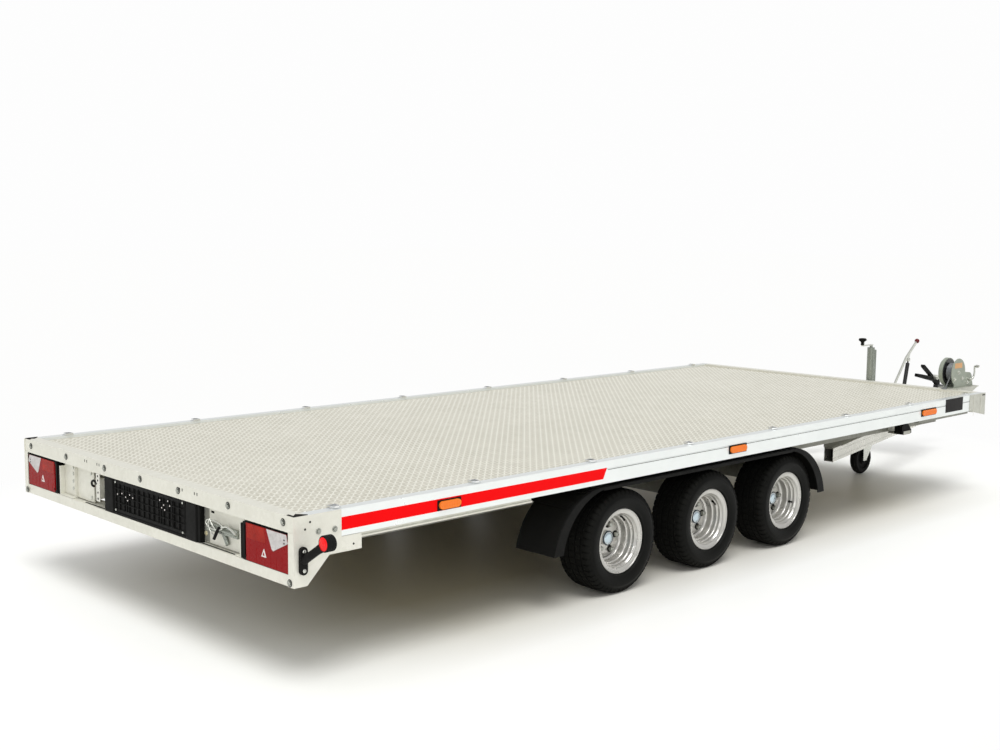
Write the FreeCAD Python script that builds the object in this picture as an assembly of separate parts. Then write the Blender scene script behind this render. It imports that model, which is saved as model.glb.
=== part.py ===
import FreeCAD, Part
import math
import os

# Three-axle car hauler trailer: flat low deck, V drawbar, overrun brake, jockey wheel, hand winch.
# Millimetres. +X points forward, +Y to the left, +Z up, and z = 0 is the floor.
# Pieces are drawn with x = 0 at the rear face, and save() moves them to the middle of the length.

# Overall sizes
deck_l = 5100.0
body_w = 2140.0
drawbar_l = 1600.0
overall_l = deck_l + drawbar_l

# Clearances
seat_gap = 0.3
run_gap = 0.08
past = 1.0

# Side rail section
rail_top = 619.0
rail_h = 97.0
rail_w = 45.0
rail_wall = 3.0
plate_t = 3.0
rail_bottom = rail_top - rail_h
rail_y = body_w / 2 - plate_t
rail_inner_y = rail_y - rail_w
groove_drop = 36.0
groove_h = 4.0
groove_depth = 2.5
groove_back = 3.0
ledge_w = 25.0
ledge_t = 3.0

# Deck floor
deck_step = 12.0
deck_t = 4.0
deck_top = rail_top - deck_step
deck_bottom = deck_top - deck_t

# Rear frame
rear_beam_w = 60.0
rear_beam_h = 59.0
rear_sill_w = 90.0
rear_sill_h = 41.0
rear_bottom = 371.0
rear_sill_top = rear_bottom + rear_sill_h
rear_beam_low = rail_top - rear_beam_h
beam_wall = 3.0
post_w = 33.0
side_plate_l = 203.0
side_plate_foot = 56.0
side_plate_knee_x = 151.0
side_plate_knee_z = 466.0
ear_l = 91.0
ear_low = 464.0
ear_high = 520.0

# Front frame
front_plate_l = 200.0
front_low = 483.0
front_beam_w = 60.0
front_beam_h = 122.0
front_beam_low = rail_top - front_beam_h

# Chassis
chassis_inset = 285.0
chassis_y = body_w / 2 - chassis_inset
chassis_flange = 50.0
chassis_t = 5.0
chassis_top = rail_bottom + past
chassis_bottom = rear_sill_top
chassis_rear_x = 60.0
cross_w = 40.0
cross_t = 4.0
cross_count = 11
cross_end = 260.0

# Wheels and axles
wheel_to_front = 2697.0
wheel_mid_x = deck_l - wheel_to_front
wheel_pitch = 636.0
wheel_x = (wheel_mid_x - wheel_pitch, wheel_mid_x, wheel_mid_x + wheel_pitch)
tyre_r = 234.0
tyre_w = 196.0
tread_w = 160.0
shoulder_drop = 6.0
bulge_r = 192.0
tyre_foot_w = 176.0
rim_r = 127.0
flange_r = 144.0
rim_w = 158.0
rim_t = 4.0
tyre_inset = 35.0
tyre_outer_y = body_w / 2 - tyre_inset
wheel_y = tyre_outer_y - tyre_w / 2
rim_disc_inset = 92.0
rim_disc_t = 7.0
disc_bow_r = 84.0
disc_bow = 6.0
rim_step = 7.0
rim_step_at = 38.0
hub_cap_r = 33.0
hub_cap_l = 22.0
hub_cap_edge = 5.0
drum_r = 112.0
drum_l = 30.0
stub_r = 20.0
stub_depth = 30.0
arm_drop = 98.0
arm_length = 150.0
arm_back = math.sqrt(arm_length ** 2 - arm_drop ** 2)
axle_size = 80.0
axle_z = tyre_r + arm_drop
swing_t = 30.0
swing_gap = 8.0
swing_boss_r = 38.0
swing_end_r = 32.0
spindle_r = 42.0
backplate_t = 6.0
backplate_gap = 3.0
bracket_l = 140.0
bracket_t = 8.0

# V drawbar
arm_w = 60.0
arm_h = 80.0
arm_z = 300.0
arm_top = arm_z + arm_h / 2
arm_wall = 4.0
arm_lap = 1060.0
arm_inset = 140.0
arm_rear_x = deck_l - arm_lap
arm_rear_y = chassis_y - arm_inset
arm_front_back = 370.0
arm_front_x = overall_l - arm_front_back
arm_front_y = 144.0
arm_slope = (arm_rear_y - arm_front_y) / (arm_front_x - arm_rear_x)
swage_h = 3.0
swage_depth = 1.5
swage_from_mid = 20.0
hanger_l = 120.0
hanger_t = 8.0
hanger_spread = 25.0

# Overrun device and coupling
head_plate_l = 500.0
head_plate_t = 6.0
housing_l = 430.0
housing_w = 90.0
housing_h = 84.0
housing_flange = 22.0
housing_flange_t = 8.0
housing_x = arm_front_x - housing_l
housing_front = arm_front_x
shaft_z = arm_top + head_plate_t + housing_h / 2
shaft_r = 25.0
shaft_start = 60.0
collar_r = 46.0
collar_l = 30.0
bellows_r = 38.0
bellows_fold = 7.0
bellows_folds = 5
coupling_l = 260.0
coupling_x = overall_l - coupling_l
bellows_l = coupling_x - housing_front
neck_r = 34.0
nose_h = 66.0
nose_r = 54.0
nose_back = 54.0
ball_r = 25.4
ball_deep = 33.0
ball_x = overall_l - nose_back

# Coupling handle
handle_w = 24.0
handle_seat = 30.0
handle_h = 22.0
handle_tip_rise = 168.0
handle_front_rise = 112.0
handle_foot = 40.0
handle_back = 466.0
handle_pivot_back = 120.0
grip_root_back = 241.0
grip_root_rise = 136.0
grip_tip_back = 368.0
grip_tip_rise = 217.0
grip_t = 22.0

# Handbrake lever and its gas spring
brake_y = housing_w / 2 + 12
brake_bar_w = 9.0
brake_bar_t = 10.0
brake_pivot_r = 26.0
brake_pivot_x = housing_x + 50
knee_x = 231.0
knee_z = 281.0
tip_x = 382.0
tip_z = 398.0
knob_r = 17.0
horn_t = 6.0
spring_r = 14.0
spring_rod_r = 6.0
spring_foot_x = 218.0
spring_foot_z = 62.0
spring_end_x = 265.0
spring_end_z = 267.0
spring_body_l = 185.0

# Jockey wheel
jockey_ahead = 50.0
jockey_x = deck_l + jockey_ahead
jockey_off = 122.0
jockey_tube_r = 24.0
jockey_tube_wall = 3.4
jockey_inner_r = 20.5
jockey_top = 832.0
jockey_low = 240.0
jockey_inner_top = 660.0
jockey_cap_h = 10.0
jockey_wheel_r = 100.0
jockey_wheel_w = 50.0
jockey_trail = 75.0
jockey_clear = 6.0
fork_t = 5.0
fork_nose = 26.0
fork_tail = 20.0
fork_foot = 18.0
fork_eye = 12.0
fork_gap = 3.0
fork_bridge_t = 8.0
fork_drop = 14.0
fork_top = jockey_wheel_r * 2 + jockey_clear + fork_drop
spigot_r = 9.0
jockey_axle_r = 8.0
clamp_h = 50.0
clamp_low = 295.0
clamp_t = 9.0
clamp_stay_w = 40.0
clamp_pad_drop = 20.0
clamp_lug_w = 28.0
clamp_lug_l = 22.0
clamp_lug_in = 10.0
clamp_bar_back = 70.0
clamp_bar_front = 40.0
clamp_bar_r = 6.0
clamp_pad_t = 14.0
clamp_pad_l = 90.0
crank_l = 112.0
crank_t = 6.0
crank_nut_h = 14.0
crank_nut_r = 10.0
crank_w = 18.0
crank_end = 12.0
crank_stem_r = 8.0
crank_cap_h = 14.0
crank_cap_slope = 8.0
crank_knob_r = 24.0
crank_knob_h = 46.0

# Winch
winch_ahead = 123.0
winch_inset = 240.0
winch_x = deck_l + winch_ahead
winch_y = winch_inset - body_w / 2
shelf_t = 6.0
winch_base = rail_top + shelf_t
winch_w = 60.0
winch_l = 250.0
winch_t = 4.0
lobe_r = 88.0
drum_back = 73.0
drum_axis_h = 95.0
drum_x = winch_x - drum_back
drum_z = winch_base + drum_axis_h
cover_r = 88.0
cover_l = 26.0
cover_edge = 8.0
crank_lobe_r = 43.0
bracket_over = 20.0
winch_drum_r = 70.0
winding_r = 52.0
drum_flange_t = 3.0
crank_shaft_r = 9.0
crank_shaft_h = 45.0
crank_shaft_ahead = 67.0
crank_shaft_l = 26.0
crank_reach = 31.0
crank_rise = 79.0
crank_arm_w = 12.0
crank_arm_t = 6.0
crank_grip_l = 26.0
crank_grip_r = 10.0
shelf_w = 130.0
shelf_lap = 15.0
winch_flange_low = 524.0
rope_r = 3.5
rope_y = -20.0
hook_y = 12.0
hook_back = 2.0
hook_l = 42.0
hook_w = 26.0
hook_t = 8.0
hook_wire = 9.0

# Ramps under the deck
ramp_inset = 200.0
ramp_y = chassis_y - ramp_inset
ramp_w = 250.0
ramp_h = 90.0
ramp_l = 2300.0
ramp_t = 4.0
ramp_lip = 30.0
ramp_z = 425.0
ramp_face_x = 30.0
ramp_end_low = 417.0
ramp_end_high = 555.0
ramp_end_side = 12.0
rung_w = 24.0
rung_count = 12
rung_end = 100.0
runner_t = 3.7
runner_w = 32.0
runner_side = 8.0
runner_wall = 2.7

# Rear lamps
lamp_inset = 320.0
lamp_outer_gap = 2.0
lamp_h = 140.0
lamp_depth = 50.0
lamp_x = 4.0
lamp_rim = 10.0
lamp_recess = 8.0

# Number plate carrier
carrier_left_inset = 850.0
carrier_left = body_w / 2 - carrier_left_inset
carrier_right_inset = 723.0
carrier_right = carrier_right_inset - body_w / 2
carrier_low = 425.0
carrier_high = 555.0
carrier_x = 6.0
carrier_back = 22.0
carrier_rim = 12.0
carrier_ribs = 6
carrier_rib_t = 5.0
carrier_floor = 10.0
plate_lamp_w = 71.0
plate_lamp_back = 30.0
strap_w = 40.0
strap_t = 5.0
strap_in = 65.0

# Ramp latch
latch_y = -ramp_y
latch_w = 210.0
latch_low = 470.0
latch_h = 30.0
latch_x = 8.0
latch_set = 10.0
latch_bar_r = 7.0
latch_grip_off = 5.0
latch_grip_run = 30.0
latch_grip_seat = 6.0
latch_grip_r = 8.0
latch_grip_drop = 34.0

# Mudguards
guard_gap = 71.0
guard_r = tyre_r + guard_gap
guard_drop = 20.0
guard_top = rail_bottom - guard_drop
guard_back = 160.0
skirt_depth = 50.0
guard_t = 5.0
guard_lip = 14.0
guard_side = 12.0
guard_foot = 246.0
stay_w = 40.0
stay_t = 4.0
stay_short = 20.0
stay_angles = (106.0, 126.0)

# Marker lamps and lashing rings
marker_h = 31.0
marker_low = 549.0
marker_t = 8.0
marker_rear_gap = 454.0
marker_rear_l = 106.0
marker_mid_ahead = 82.0
marker_mid_l = 126.0
marker_front_back = 779.0
marker_front_l = 157.0
outline_x = 40.0
outline_low = 420.0
outline_base_h = 88.0
outline_base_w = 24.0
outline_base_t = 12.0
outline_head_r = 30.0
outline_head_l = 65.0
outline_reach = 95.0
outline_rise = 72.0
outline_stalk_r = 11.0
outline_lens_l = 14.0
ring_count = 8
ring_end = 195.0
ring_inset = 14.0
ring_r = 19.0
ring_wire = 6.5
ring_plate_l = 48.0
ring_plate_w = 24.0
ring_plate_t = 3.0

# Wheel chock
chock_back = 660.0
chock_l = 110.0
chock_w = 50.0
chock_h = 58.0
chock_low = 405.0
chock_gap = 50.0
chock_toe = 18.0
chock_top_l = 70.0
chock_hold = 16.0
holder_t = 3.0


def vec(x, y, z):
    return FreeCAD.Vector(x, y, z)


def block(x0, x1, y0, y1, z0, z1):
    low = vec(min(x0, x1), min(y0, y1), min(z0, z1))
    return Part.makeBox(abs(x1 - x0), abs(y1 - y0), abs(z1 - z0), low)


# Closed polygon in the plane across an axis, carried along that axis
def prism(points, axis, start, end):
    if axis == "x":
        corners = [vec(start, a, b) for a, b in points]
        way = vec(end - start, 0, 0)
    elif axis == "y":
        corners = [vec(a, start, b) for a, b in points]
        way = vec(0, end - start, 0)
    else:
        corners = [vec(a, b, start) for a, b in points]
        way = vec(0, 0, end - start)
    wire = Part.makePolygon(corners + [corners[0]])
    return Part.Face(wire).extrude(way)


def rod(start, end, radius):
    way = end - start
    return Part.makeCylinder(radius, way.Length, start, way)


def pipe(start, end, radius, wall):
    way = end - start
    return rod(start, end, radius).cut(rod(start - way * 0.01, end + way * 0.01, radius - wall))


def upright(x, y, z0, z1, radius):
    return Part.makeCylinder(radius, z1 - z0, vec(x, y, z0), vec(0, 0, 1))


def across(x, y0, y1, z, radius):
    return Part.makeCylinder(radius, y1 - y0, vec(x, y0, z), vec(0, 1, 0))


# Ring about the Y axis from (radius, y) points
def spun(profile, x, y, z):
    corners = [vec(r, a, 0) for r, a in profile]
    wire = Part.makePolygon(corners + [corners[0]])
    ring = Part.Face(wire).revolve(vec(0, 0, 0), vec(0, 1, 0), 360)
    ring.translate(vec(x, y, z))
    return ring


# Ring about a line along X from (x, radius) points
def turned(profile, y, z):
    corners = [vec(a, r, 0) for a, r in profile]
    wire = Part.makePolygon(corners + [corners[0]])
    ring = Part.Face(wire).revolve(vec(0, 0, 0), vec(1, 0, 0), 360)
    ring.translate(vec(0, y, z))
    return ring


def mirrored(shape):
    return shape.mirror(vec(0, 0, 0), vec(0, 1, 0))


def sided(shape, side):
    return shape if side > 0 else mirrored(shape)


def joined(shapes):
    whole = shapes[0]
    for extra in shapes[1:]:
        whole = whole.fuse(extra)
    return whole.removeSplitter()


def save(name, shapes):
    solids = []
    for shape in shapes:
        solids.extend(shape.Solids)
    whole = Part.makeCompound(solids)
    whole.translate(vec(-overall_l / 2, 0, 0))
    whole.exportStep("parts/" + name + ".step")


def side_rail():
    groove_z = rail_top - groove_drop
    groove_in = rail_y - groove_depth
    outline = [
        (rail_y, rail_bottom),
        (rail_y, groove_z),
        (groove_in, groove_z),
        (groove_in, groove_z + groove_h),
        (rail_y, groove_z + groove_h),
        (rail_y, rail_top),
        (rail_inner_y, rail_top),
        (rail_inner_y, rail_bottom),
    ]
    chamber = block(
        -past, deck_l + past,
        rail_inner_y + rail_wall, groove_in - groove_back,
        rail_bottom + rail_wall, rail_top - rail_wall,
    )
    profile = prism(outline, "x", rear_beam_w, deck_l - plate_t).cut(chamber)
    ledge = block(
        rear_beam_w, deck_l - front_beam_w,
        rail_inner_y - ledge_w, rail_inner_y,
        deck_bottom - ledge_t, deck_bottom,
    )
    return profile.fuse(ledge).removeSplitter()


def deck_plate():
    return block(
        rear_beam_w, deck_l - front_beam_w,
        -rail_inner_y, rail_inner_y,
        deck_bottom, deck_top,
    )


# Square tube across the trailer, open at its ends
def cross_tube(x0, x1, half_w, z0, z1):
    outer = block(x0, x1, -half_w, half_w, z0, z1)
    inner = block(
        x0 + beam_wall, x1 - beam_wall,
        -half_w - past, half_w + past,
        z0 + beam_wall, z1 - beam_wall,
    )
    return outer.cut(inner)


# Folded tube under the rear opening, its back edge cut off like the side plates'
def rear_sill():
    w = rear_sill_w
    t = beam_wall
    foot = side_plate_foot
    slant = w - foot
    outer = prism(
        [
            (plate_t, rear_bottom), (foot, rear_bottom), (w, rear_bottom + slant),
            (w, rear_sill_top), (plate_t, rear_sill_top),
        ],
        "y", -rail_y, rail_y,
    )
    inner = prism(
        [
            (plate_t + t, rear_bottom + t), (foot - t / 2, rear_bottom + t),
            (w - t, rear_bottom + slant + t / 2), (w - t, rear_sill_top - t),
            (plate_t + t, rear_sill_top - t),
        ],
        "y", -rail_y - past, rail_y + past,
    )
    return outer.cut(inner)


# Folded corner sheet: a post facing the rear and a side plate with a cut knee
def rear_corner():
    outline = [
        (0, rear_bottom),
        (side_plate_foot, rear_bottom),
        (side_plate_knee_x, side_plate_knee_z),
        (side_plate_l, side_plate_knee_z),
        (side_plate_l, rail_top),
        (0, rail_top),
    ]
    plate = prism(outline, "y", rail_y, body_w / 2)
    post = block(0, plate_t, rail_y - post_w + plate_t, rail_y, rear_bottom, rail_bottom)
    ear = block(
        side_plate_knee_x, side_plate_l + ear_l,
        rail_y - plate_t, rail_y,
        ear_low, ear_high,
    )
    return joined([plate, post, ear])


def front_corner():
    outline = [
        (deck_l - front_plate_l, rail_bottom),
        (deck_l, front_low),
        (deck_l, rail_top),
        (deck_l - front_plate_l, rail_top),
    ]
    return prism(outline, "y", rail_y, body_w / 2)


# C section under the floor, notched at its ends for the rail's ledge
def cross_member(x):
    tip_y = rail_inner_y
    step_y = rail_inner_y - ledge_w
    foot = chassis_top
    high = deck_bottom
    low_top = deck_bottom - ledge_t
    web = prism(
        [
            (-tip_y, foot), (tip_y, foot), (tip_y, low_top), (step_y, low_top),
            (step_y, high), (-step_y, high), (-step_y, low_top), (-tip_y, low_top),
        ],
        "x", x, x + cross_t,
    )
    upper = block(x, x + cross_w, -step_y, step_y, high - cross_t, high)
    lower = block(x, x + cross_w, -tip_y, tip_y, foot, foot + cross_t)
    return joined([web, upper, lower])


def cross_members():
    pitch = (deck_l - 2 * cross_end) / (cross_count - 1)
    return [cross_member(cross_end + i * pitch) for i in range(cross_count)]


# C section lying open towards the middle of the trailer
def chassis_member():
    outer = chassis_y
    inner = chassis_y - chassis_flange
    x0 = chassis_rear_x
    x1 = deck_l - front_beam_w
    web = block(x0, x1, outer - chassis_t, outer, chassis_bottom, chassis_top)
    top = block(x0, x1, inner, outer, chassis_top - chassis_t, chassis_top)
    low = block(x0, x1, inner, outer, chassis_bottom, chassis_bottom + chassis_t)
    return joined([web, top, low])


def tyre(x, side):
    half = tyre_w / 2
    tread = tread_w / 2
    seat = rim_w / 2 - rim_t
    side_half = [
        (rim_r, seat), (flange_r, seat), (flange_r + 8, tyre_foot_w / 2), (bulge_r - 22, half - 3),
        (bulge_r, half), (bulge_r + 20, half - 4),
        (tyre_r - shoulder_drop, tread + shoulder_drop), (tyre_r, tread),
    ]
    profile = side_half + [(r, -y) for r, y in reversed(side_half)]
    return sided(spun(profile, x, wheel_y, tyre_r), side)


def drum_inner_y():
    return wheel_y + rim_w / 2 - rim_disc_inset - rim_disc_t - drum_l


# Deep dish steel wheel with its hub cap and brake drum
def rim(x, side):
    edge = rim_w / 2
    disc = edge - rim_disc_inset
    inside = rim_r - rim_t
    drum_in = disc - rim_disc_t - drum_l
    bore = stub_r + run_gap
    cap_end = disc + hub_cap_l
    well = rim_t + 2
    profile = [
        (0, cap_end), (hub_cap_r - hub_cap_edge, cap_end), (hub_cap_r, cap_end - hub_cap_edge),
        (hub_cap_r, disc + disc_bow), (disc_bow_r - 14, disc + disc_bow), (disc_bow_r, disc),
        (inside - rim_step, disc - 2 * disc_bow), (inside - rim_step, edge - rim_step_at),
        (inside, edge - rim_step_at + rim_step), (inside, edge - well), (flange_r - rim_t, edge),
        (flange_r, edge), (flange_r, edge - rim_t), (rim_r, edge - rim_t),
        (rim_r, rim_t - edge), (flange_r, rim_t - edge), (flange_r, -edge),
        (flange_r - rim_t, -edge), (inside, well - edge), (inside, disc - 2 * disc_bow - rim_disc_t),
        (drum_r, disc - 2 * disc_bow), (drum_r, drum_in),
        (bore, drum_in), (bore, drum_in + stub_depth), (0, drum_in + stub_depth),
    ]
    return sided(spun(profile, x, wheel_y, tyre_r), side)


def swing_outer_y():
    return tyre_outer_y - tyre_w - swing_gap


# Trailing arm with its back plate and the stub that carries the wheel
def swing_arm(x, side):
    plate_out = drum_inner_y() - backplate_gap
    plate_in = plate_out - backplate_t
    outer = swing_outer_y()
    inner = outer - swing_t
    pivot = vec(x + arm_back, 0, axle_z)
    foot = vec(x, 0, tyre_r)
    boss = across(pivot.x, inner, outer, pivot.z, swing_boss_r)
    end = across(foot.x, inner, outer, foot.z, swing_end_r)
    slant = pivot - foot
    wide = vec(-slant.z, 0, slant.x)
    wide.normalize()
    low = wide * (swing_end_r - 2)
    high = wide * (swing_boss_r - 2)
    outline = [foot + low, foot - low, pivot - high, pivot + high]
    blade = prism([(p.x, p.z) for p in outline], "y", inner, outer)
    spindle = across(foot.x, outer, plate_in, foot.z, spindle_r)
    plate = across(foot.x, plate_in, plate_out, foot.z, drum_r)
    stub = across(foot.x, plate_out, plate_out + backplate_gap + stub_depth - 2, foot.z, stub_r)
    return sided(joined([boss, end, blade, spindle, plate, stub]), side)


def axle_tube(x):
    reach = swing_outer_y() - swing_t
    centre = x + arm_back
    half = axle_size / 2
    return block(centre - half, centre + half, -reach, reach, axle_z - half, axle_z + half)


# Two cheeks and a top plate bolted between the axle tube and the chassis member
def axle_bracket(x, side):
    centre = x + arm_back
    top = axle_z + axle_size / 2
    outer = chassis_y - 2
    inner = chassis_y - chassis_flange
    wide = bracket_l / 2
    narrow = axle_size / 2
    outline = [
        (centre - wide, chassis_bottom), (centre - narrow, top),
        (centre + narrow, top), (centre + wide, chassis_bottom),
    ]
    cheeks = [
        prism(outline, "y", inner, inner + bracket_t),
        prism(outline, "y", outer - bracket_t, outer),
    ]
    cap = block(centre - wide, centre + wide, inner, outer, chassis_bottom - bracket_t, chassis_bottom)
    return sided(joined(cheeks + [cap]), side)


def arm_centre_y(x):
    return arm_rear_y - arm_slope * (x - arm_rear_x)


# Strip of the plan view that runs beside the arm's centre line
def arm_strip(low, high, extra):
    x0 = arm_rear_x - extra
    x1 = arm_front_x + extra
    y0 = arm_centre_y(x0)
    y1 = arm_centre_y(x1)
    return [(x0, y0 + low), (x1, y1 + low), (x1, y1 + high), (x0, y0 + high)]


# Hollow arm with two long swages along each wall
def drawbar_arm():
    half = arm_w / 2
    inset = half - arm_wall
    low = arm_z - arm_h / 2
    tube = prism(arm_strip(-half, half, 0), "z", low, arm_top)
    tube = tube.cut(prism(arm_strip(-inset, inset, past), "z", low + arm_wall, arm_top - arm_wall))
    for mid in (arm_z - swage_from_mid, arm_z + swage_from_mid):
        for edge in (-half, half - swage_depth):
            cut = arm_strip(edge, edge + swage_depth, past)
            tube = tube.cut(prism(cut, "z", mid - swage_h / 2, mid + swage_h / 2))
    return tube


# Two cross plates with a web between them, standing on the arm
def hanger(x0, reach, high):
    x1 = x0 + hanger_l
    y0 = arm_centre_y(x0 + hanger_l / 2)
    inner = y0 - hanger_spread
    outline = [(inner, arm_top), (y0 + hanger_spread, arm_top), (reach, high), (inner, high)]
    plates = [
        prism(outline, "x", x0, x0 + hanger_t),
        prism(outline, "x", x1 - hanger_t, x1),
    ]
    web = block(x0, x1, y0 - hanger_t / 2, y0 + hanger_t / 2, arm_top, high)
    return joined(plates + [web])


def arm_hangers():
    rear = hanger(arm_rear_x + hanger_t, chassis_y, chassis_bottom)
    x_front = deck_l - front_beam_w / 2 - hanger_l / 2
    front = hanger(x_front, arm_centre_y(x_front) + hanger_spread, front_beam_low)
    return [rear, front]


# Top plate that joins the two arms under the overrun housing
def drawbar_head():
    x1 = arm_front_x
    x0 = x1 - head_plate_l
    y0 = arm_centre_y(x0) + arm_w / 2
    y1 = arm_centre_y(x1) + arm_w / 2
    outline = [(x0, -y0), (x1, -y1), (x1, y1), (x0, y0)]
    return prism(outline, "z", arm_top, arm_top + head_plate_t)


# Housing with a round back, bolting flanges and a collar for the shaft
def overrun_housing():
    base = arm_top + head_plate_t
    half = housing_w / 2
    skirt = block(housing_x, housing_front, -half, half, base, shaft_z)
    crown = rod(vec(housing_x, 0, shaft_z), vec(housing_front, 0, shaft_z), half)
    crown = crown.common(block(housing_x, housing_front, -half, half, shaft_z, shaft_z + housing_h / 2))
    feet = block(
        housing_x, housing_front,
        -half - housing_flange, half + housing_flange,
        base, base + housing_flange_t,
    )
    collar = rod(vec(housing_front - collar_l, 0, shaft_z), vec(housing_front, 0, shaft_z), collar_r)
    collar = collar.cut(block(housing_x, overall_l, -body_w, body_w, 0, base))
    whole = joined([skirt, crown, feet, collar])
    bore = rod(
        vec(housing_x + shaft_start - past, 0, shaft_z), vec(housing_front + past, 0, shaft_z),
        shaft_r + run_gap,
    )
    return whole.cut(bore)


# Rubber gaiter: a row of folds about the coupling's shaft
def bellows():
    pitch = bellows_l / bellows_folds
    start = housing_front
    hole = shaft_r + seat_gap
    points = [(start, hole)]
    for i in range(bellows_folds):
        points.append((start + i * pitch, bellows_r - bellows_fold))
        points.append((start + (i + 0.5) * pitch, bellows_r))
    points.append((start + bellows_l, bellows_r - bellows_fold))
    points.append((start + bellows_l, hole))
    return turned(points, 0, shaft_z)


# Cast head: round neck, widening cheeks and a round nose over the ball socket
def coupling_head():
    low = shaft_z - neck_r
    high = low + nose_h
    cheek_x = ball_x - 10
    neck = rod(vec(coupling_x, 0, shaft_z), vec(ball_x - nose_r, 0, shaft_z), neck_r)
    nose = upright(ball_x, 0, low, high, nose_r)
    cheeks = prism(
        [
            (coupling_x + 70, -neck_r + 6), (cheek_x, -nose_r), (cheek_x, nose_r),
            (coupling_x + 70, neck_r - 6),
        ],
        "z", low, high,
    )
    crest = prism(
        [
            (coupling_x + 90, high - 6), (ball_x + 20, high - 6), (ball_x - 10, high + 18),
            (ball_x - 60, high + 30), (coupling_x + 100, high + 30),
        ],
        "y", -18, 18,
    )
    whole = joined([neck, nose, cheeks, crest])
    socket = upright(ball_x, 0, low - past, low + ball_deep, ball_r)
    dome = Part.makeSphere(ball_r, vec(ball_x, 0, low + ball_deep))
    shaft = rod(vec(housing_x + shaft_start, 0, shaft_z), vec(coupling_x + 20, 0, shaft_z), shaft_r)
    return joined([whole.cut(socket.fuse(dome)), shaft])


# Long handle over the head with an arched grip
def coupling_handle():
    head_top = shaft_z - neck_r + nose_h + handle_seat
    x0 = overall_l - handle_back
    x1 = overall_l - handle_pivot_back
    tip_top = shaft_z + handle_tip_rise
    front_top = shaft_z + handle_front_rise
    half = handle_w / 2
    lever = prism(
        [(x0, tip_top - handle_h), (x1 - 2 * handle_foot, front_top - handle_h), (x1 - handle_foot, head_top),
         (x1, head_top), (x1, front_top), (x0 + handle_h / 4, tip_top)],
        "y", -half, half,
    )
    root = vec(overall_l - grip_root_back, 0, shaft_z + grip_root_rise)
    tip = vec(overall_l - grip_tip_back, 0, shaft_z + grip_tip_rise)
    along = (tip - root).normalize() * (grip_t / 2)
    wide = vec(-along.z, 0, along.x)
    corners = [
        root - along + wide, tip + wide, tip + along + wide / 2,
        tip + along - wide / 2, tip - wide, root - along - wide,
    ]
    grip = prism([(p.x, p.z) for p in corners], "y", -half, half)
    return joined([lever, grip])


def brake_point(ahead, up):
    return vec(brake_pivot_x + ahead, brake_y, shaft_z + up)


# Corner of a bent flat bar, where the edges beside two runs meet
def bar_corner(before, point, after, width):
    first = (point - before).normalize()
    second = (after - point).normalize()
    one = vec(-first.z, 0, first.x)
    two = vec(-second.z, 0, second.x)
    mid = (one + two).normalize()
    return mid * (width / mid.dot(one))


# Bent hand lever on the housing's left side, with a horn that takes the gas spring
def handbrake():
    foot = brake_point(0, 0)
    knee = brake_point(knee_x, knee_z)
    tip = brake_point(tip_x, tip_z)
    first = bar_corner(foot * 2 - knee, foot, knee, brake_bar_w)
    bend = bar_corner(foot, knee, tip, brake_bar_w)
    last = bar_corner(knee, tip, tip * 2 - knee, brake_bar_w)
    outline = [foot + first, knee + bend, tip + last, tip - last, knee - bend, foot - first]
    half = brake_bar_t / 2
    lever = prism([(p.x, p.z) for p in outline], "y", brake_y - half, brake_y + half)
    end = brake_point(spring_end_x, spring_end_z + 2)
    near = knee + (tip - knee) * 0.4
    horn = prism(
        [(knee.x, knee.z), (near.x, near.z), (end.x + 9, end.z), (end.x - 9, end.z)],
        "y", brake_y - horn_t / 2, brake_y + horn_t / 2,
    )
    pivot = across(foot.x, housing_w / 2, brake_y + half, foot.z, brake_pivot_r)
    return joined([lever, horn, pivot, Part.makeSphere(knob_r, tip)])


# Gas spring on a lug of the housing's side
def gas_strut():
    foot = brake_point(spring_foot_x, spring_foot_z)
    end = brake_point(spring_end_x, spring_end_z)
    way = (end - foot).normalize()
    body_end = foot + way * spring_body_l
    lug = block(foot.x - spring_r, foot.x + spring_r, housing_w / 2, brake_y + 6, shaft_z - 20, foot.z)
    return joined([rod(foot - way * 4, body_end, spring_r), rod(body_end, end, spring_rod_r), lug])


def jockey_y():
    return jockey_off + arm_w / 2 - arm_centre_y(jockey_x)


# Clamp on the inner face of the right arm, with its tightening bar
def jockey_clamp():
    y = jockey_y()
    half_l = clamp_pad_l / 2
    x = jockey_x
    wall = arm_w / 2 + seat_gap
    outer = upright(x, y, clamp_low, clamp_low + clamp_h, jockey_tube_r + clamp_t)
    stay_y = -arm_centre_y(x) + arm_w / 2 + clamp_pad_t / 2
    stay = block(
        x - clamp_stay_w / 2, x + clamp_stay_w / 2,
        stay_y, y - jockey_tube_r - clamp_t / 2, arm_z, arm_top,
    )
    pad = prism(
        [
            (x - half_l, wall - arm_centre_y(x - half_l)), (x + half_l, wall - arm_centre_y(x + half_l)),
            (x + half_l, wall - arm_centre_y(x + half_l) + clamp_pad_t),
            (x - half_l, wall - arm_centre_y(x - half_l) + clamp_pad_t),
        ],
        "z", arm_z - clamp_pad_drop, arm_top - 2,
    )
    lug_y = y + jockey_tube_r + clamp_t
    lug = block(
        x - clamp_lug_w / 2, x + clamp_lug_w / 2, lug_y - clamp_t / 2, lug_y + clamp_lug_l,
        clamp_low + clamp_lug_in, clamp_low + clamp_h - clamp_lug_in,
    )
    bar_y = lug_y + clamp_lug_l / 2
    bar_z = clamp_low + clamp_h / 2
    bar = rod(vec(x - clamp_bar_back, bar_y, bar_z), vec(x + clamp_bar_front, bar_y, bar_z), clamp_bar_r)
    hole = upright(x, y, clamp_low - past, clamp_low + clamp_h + past, jockey_tube_r + run_gap)
    return joined([outer, stay, pad, lug, bar]).cut(hole)


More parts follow.
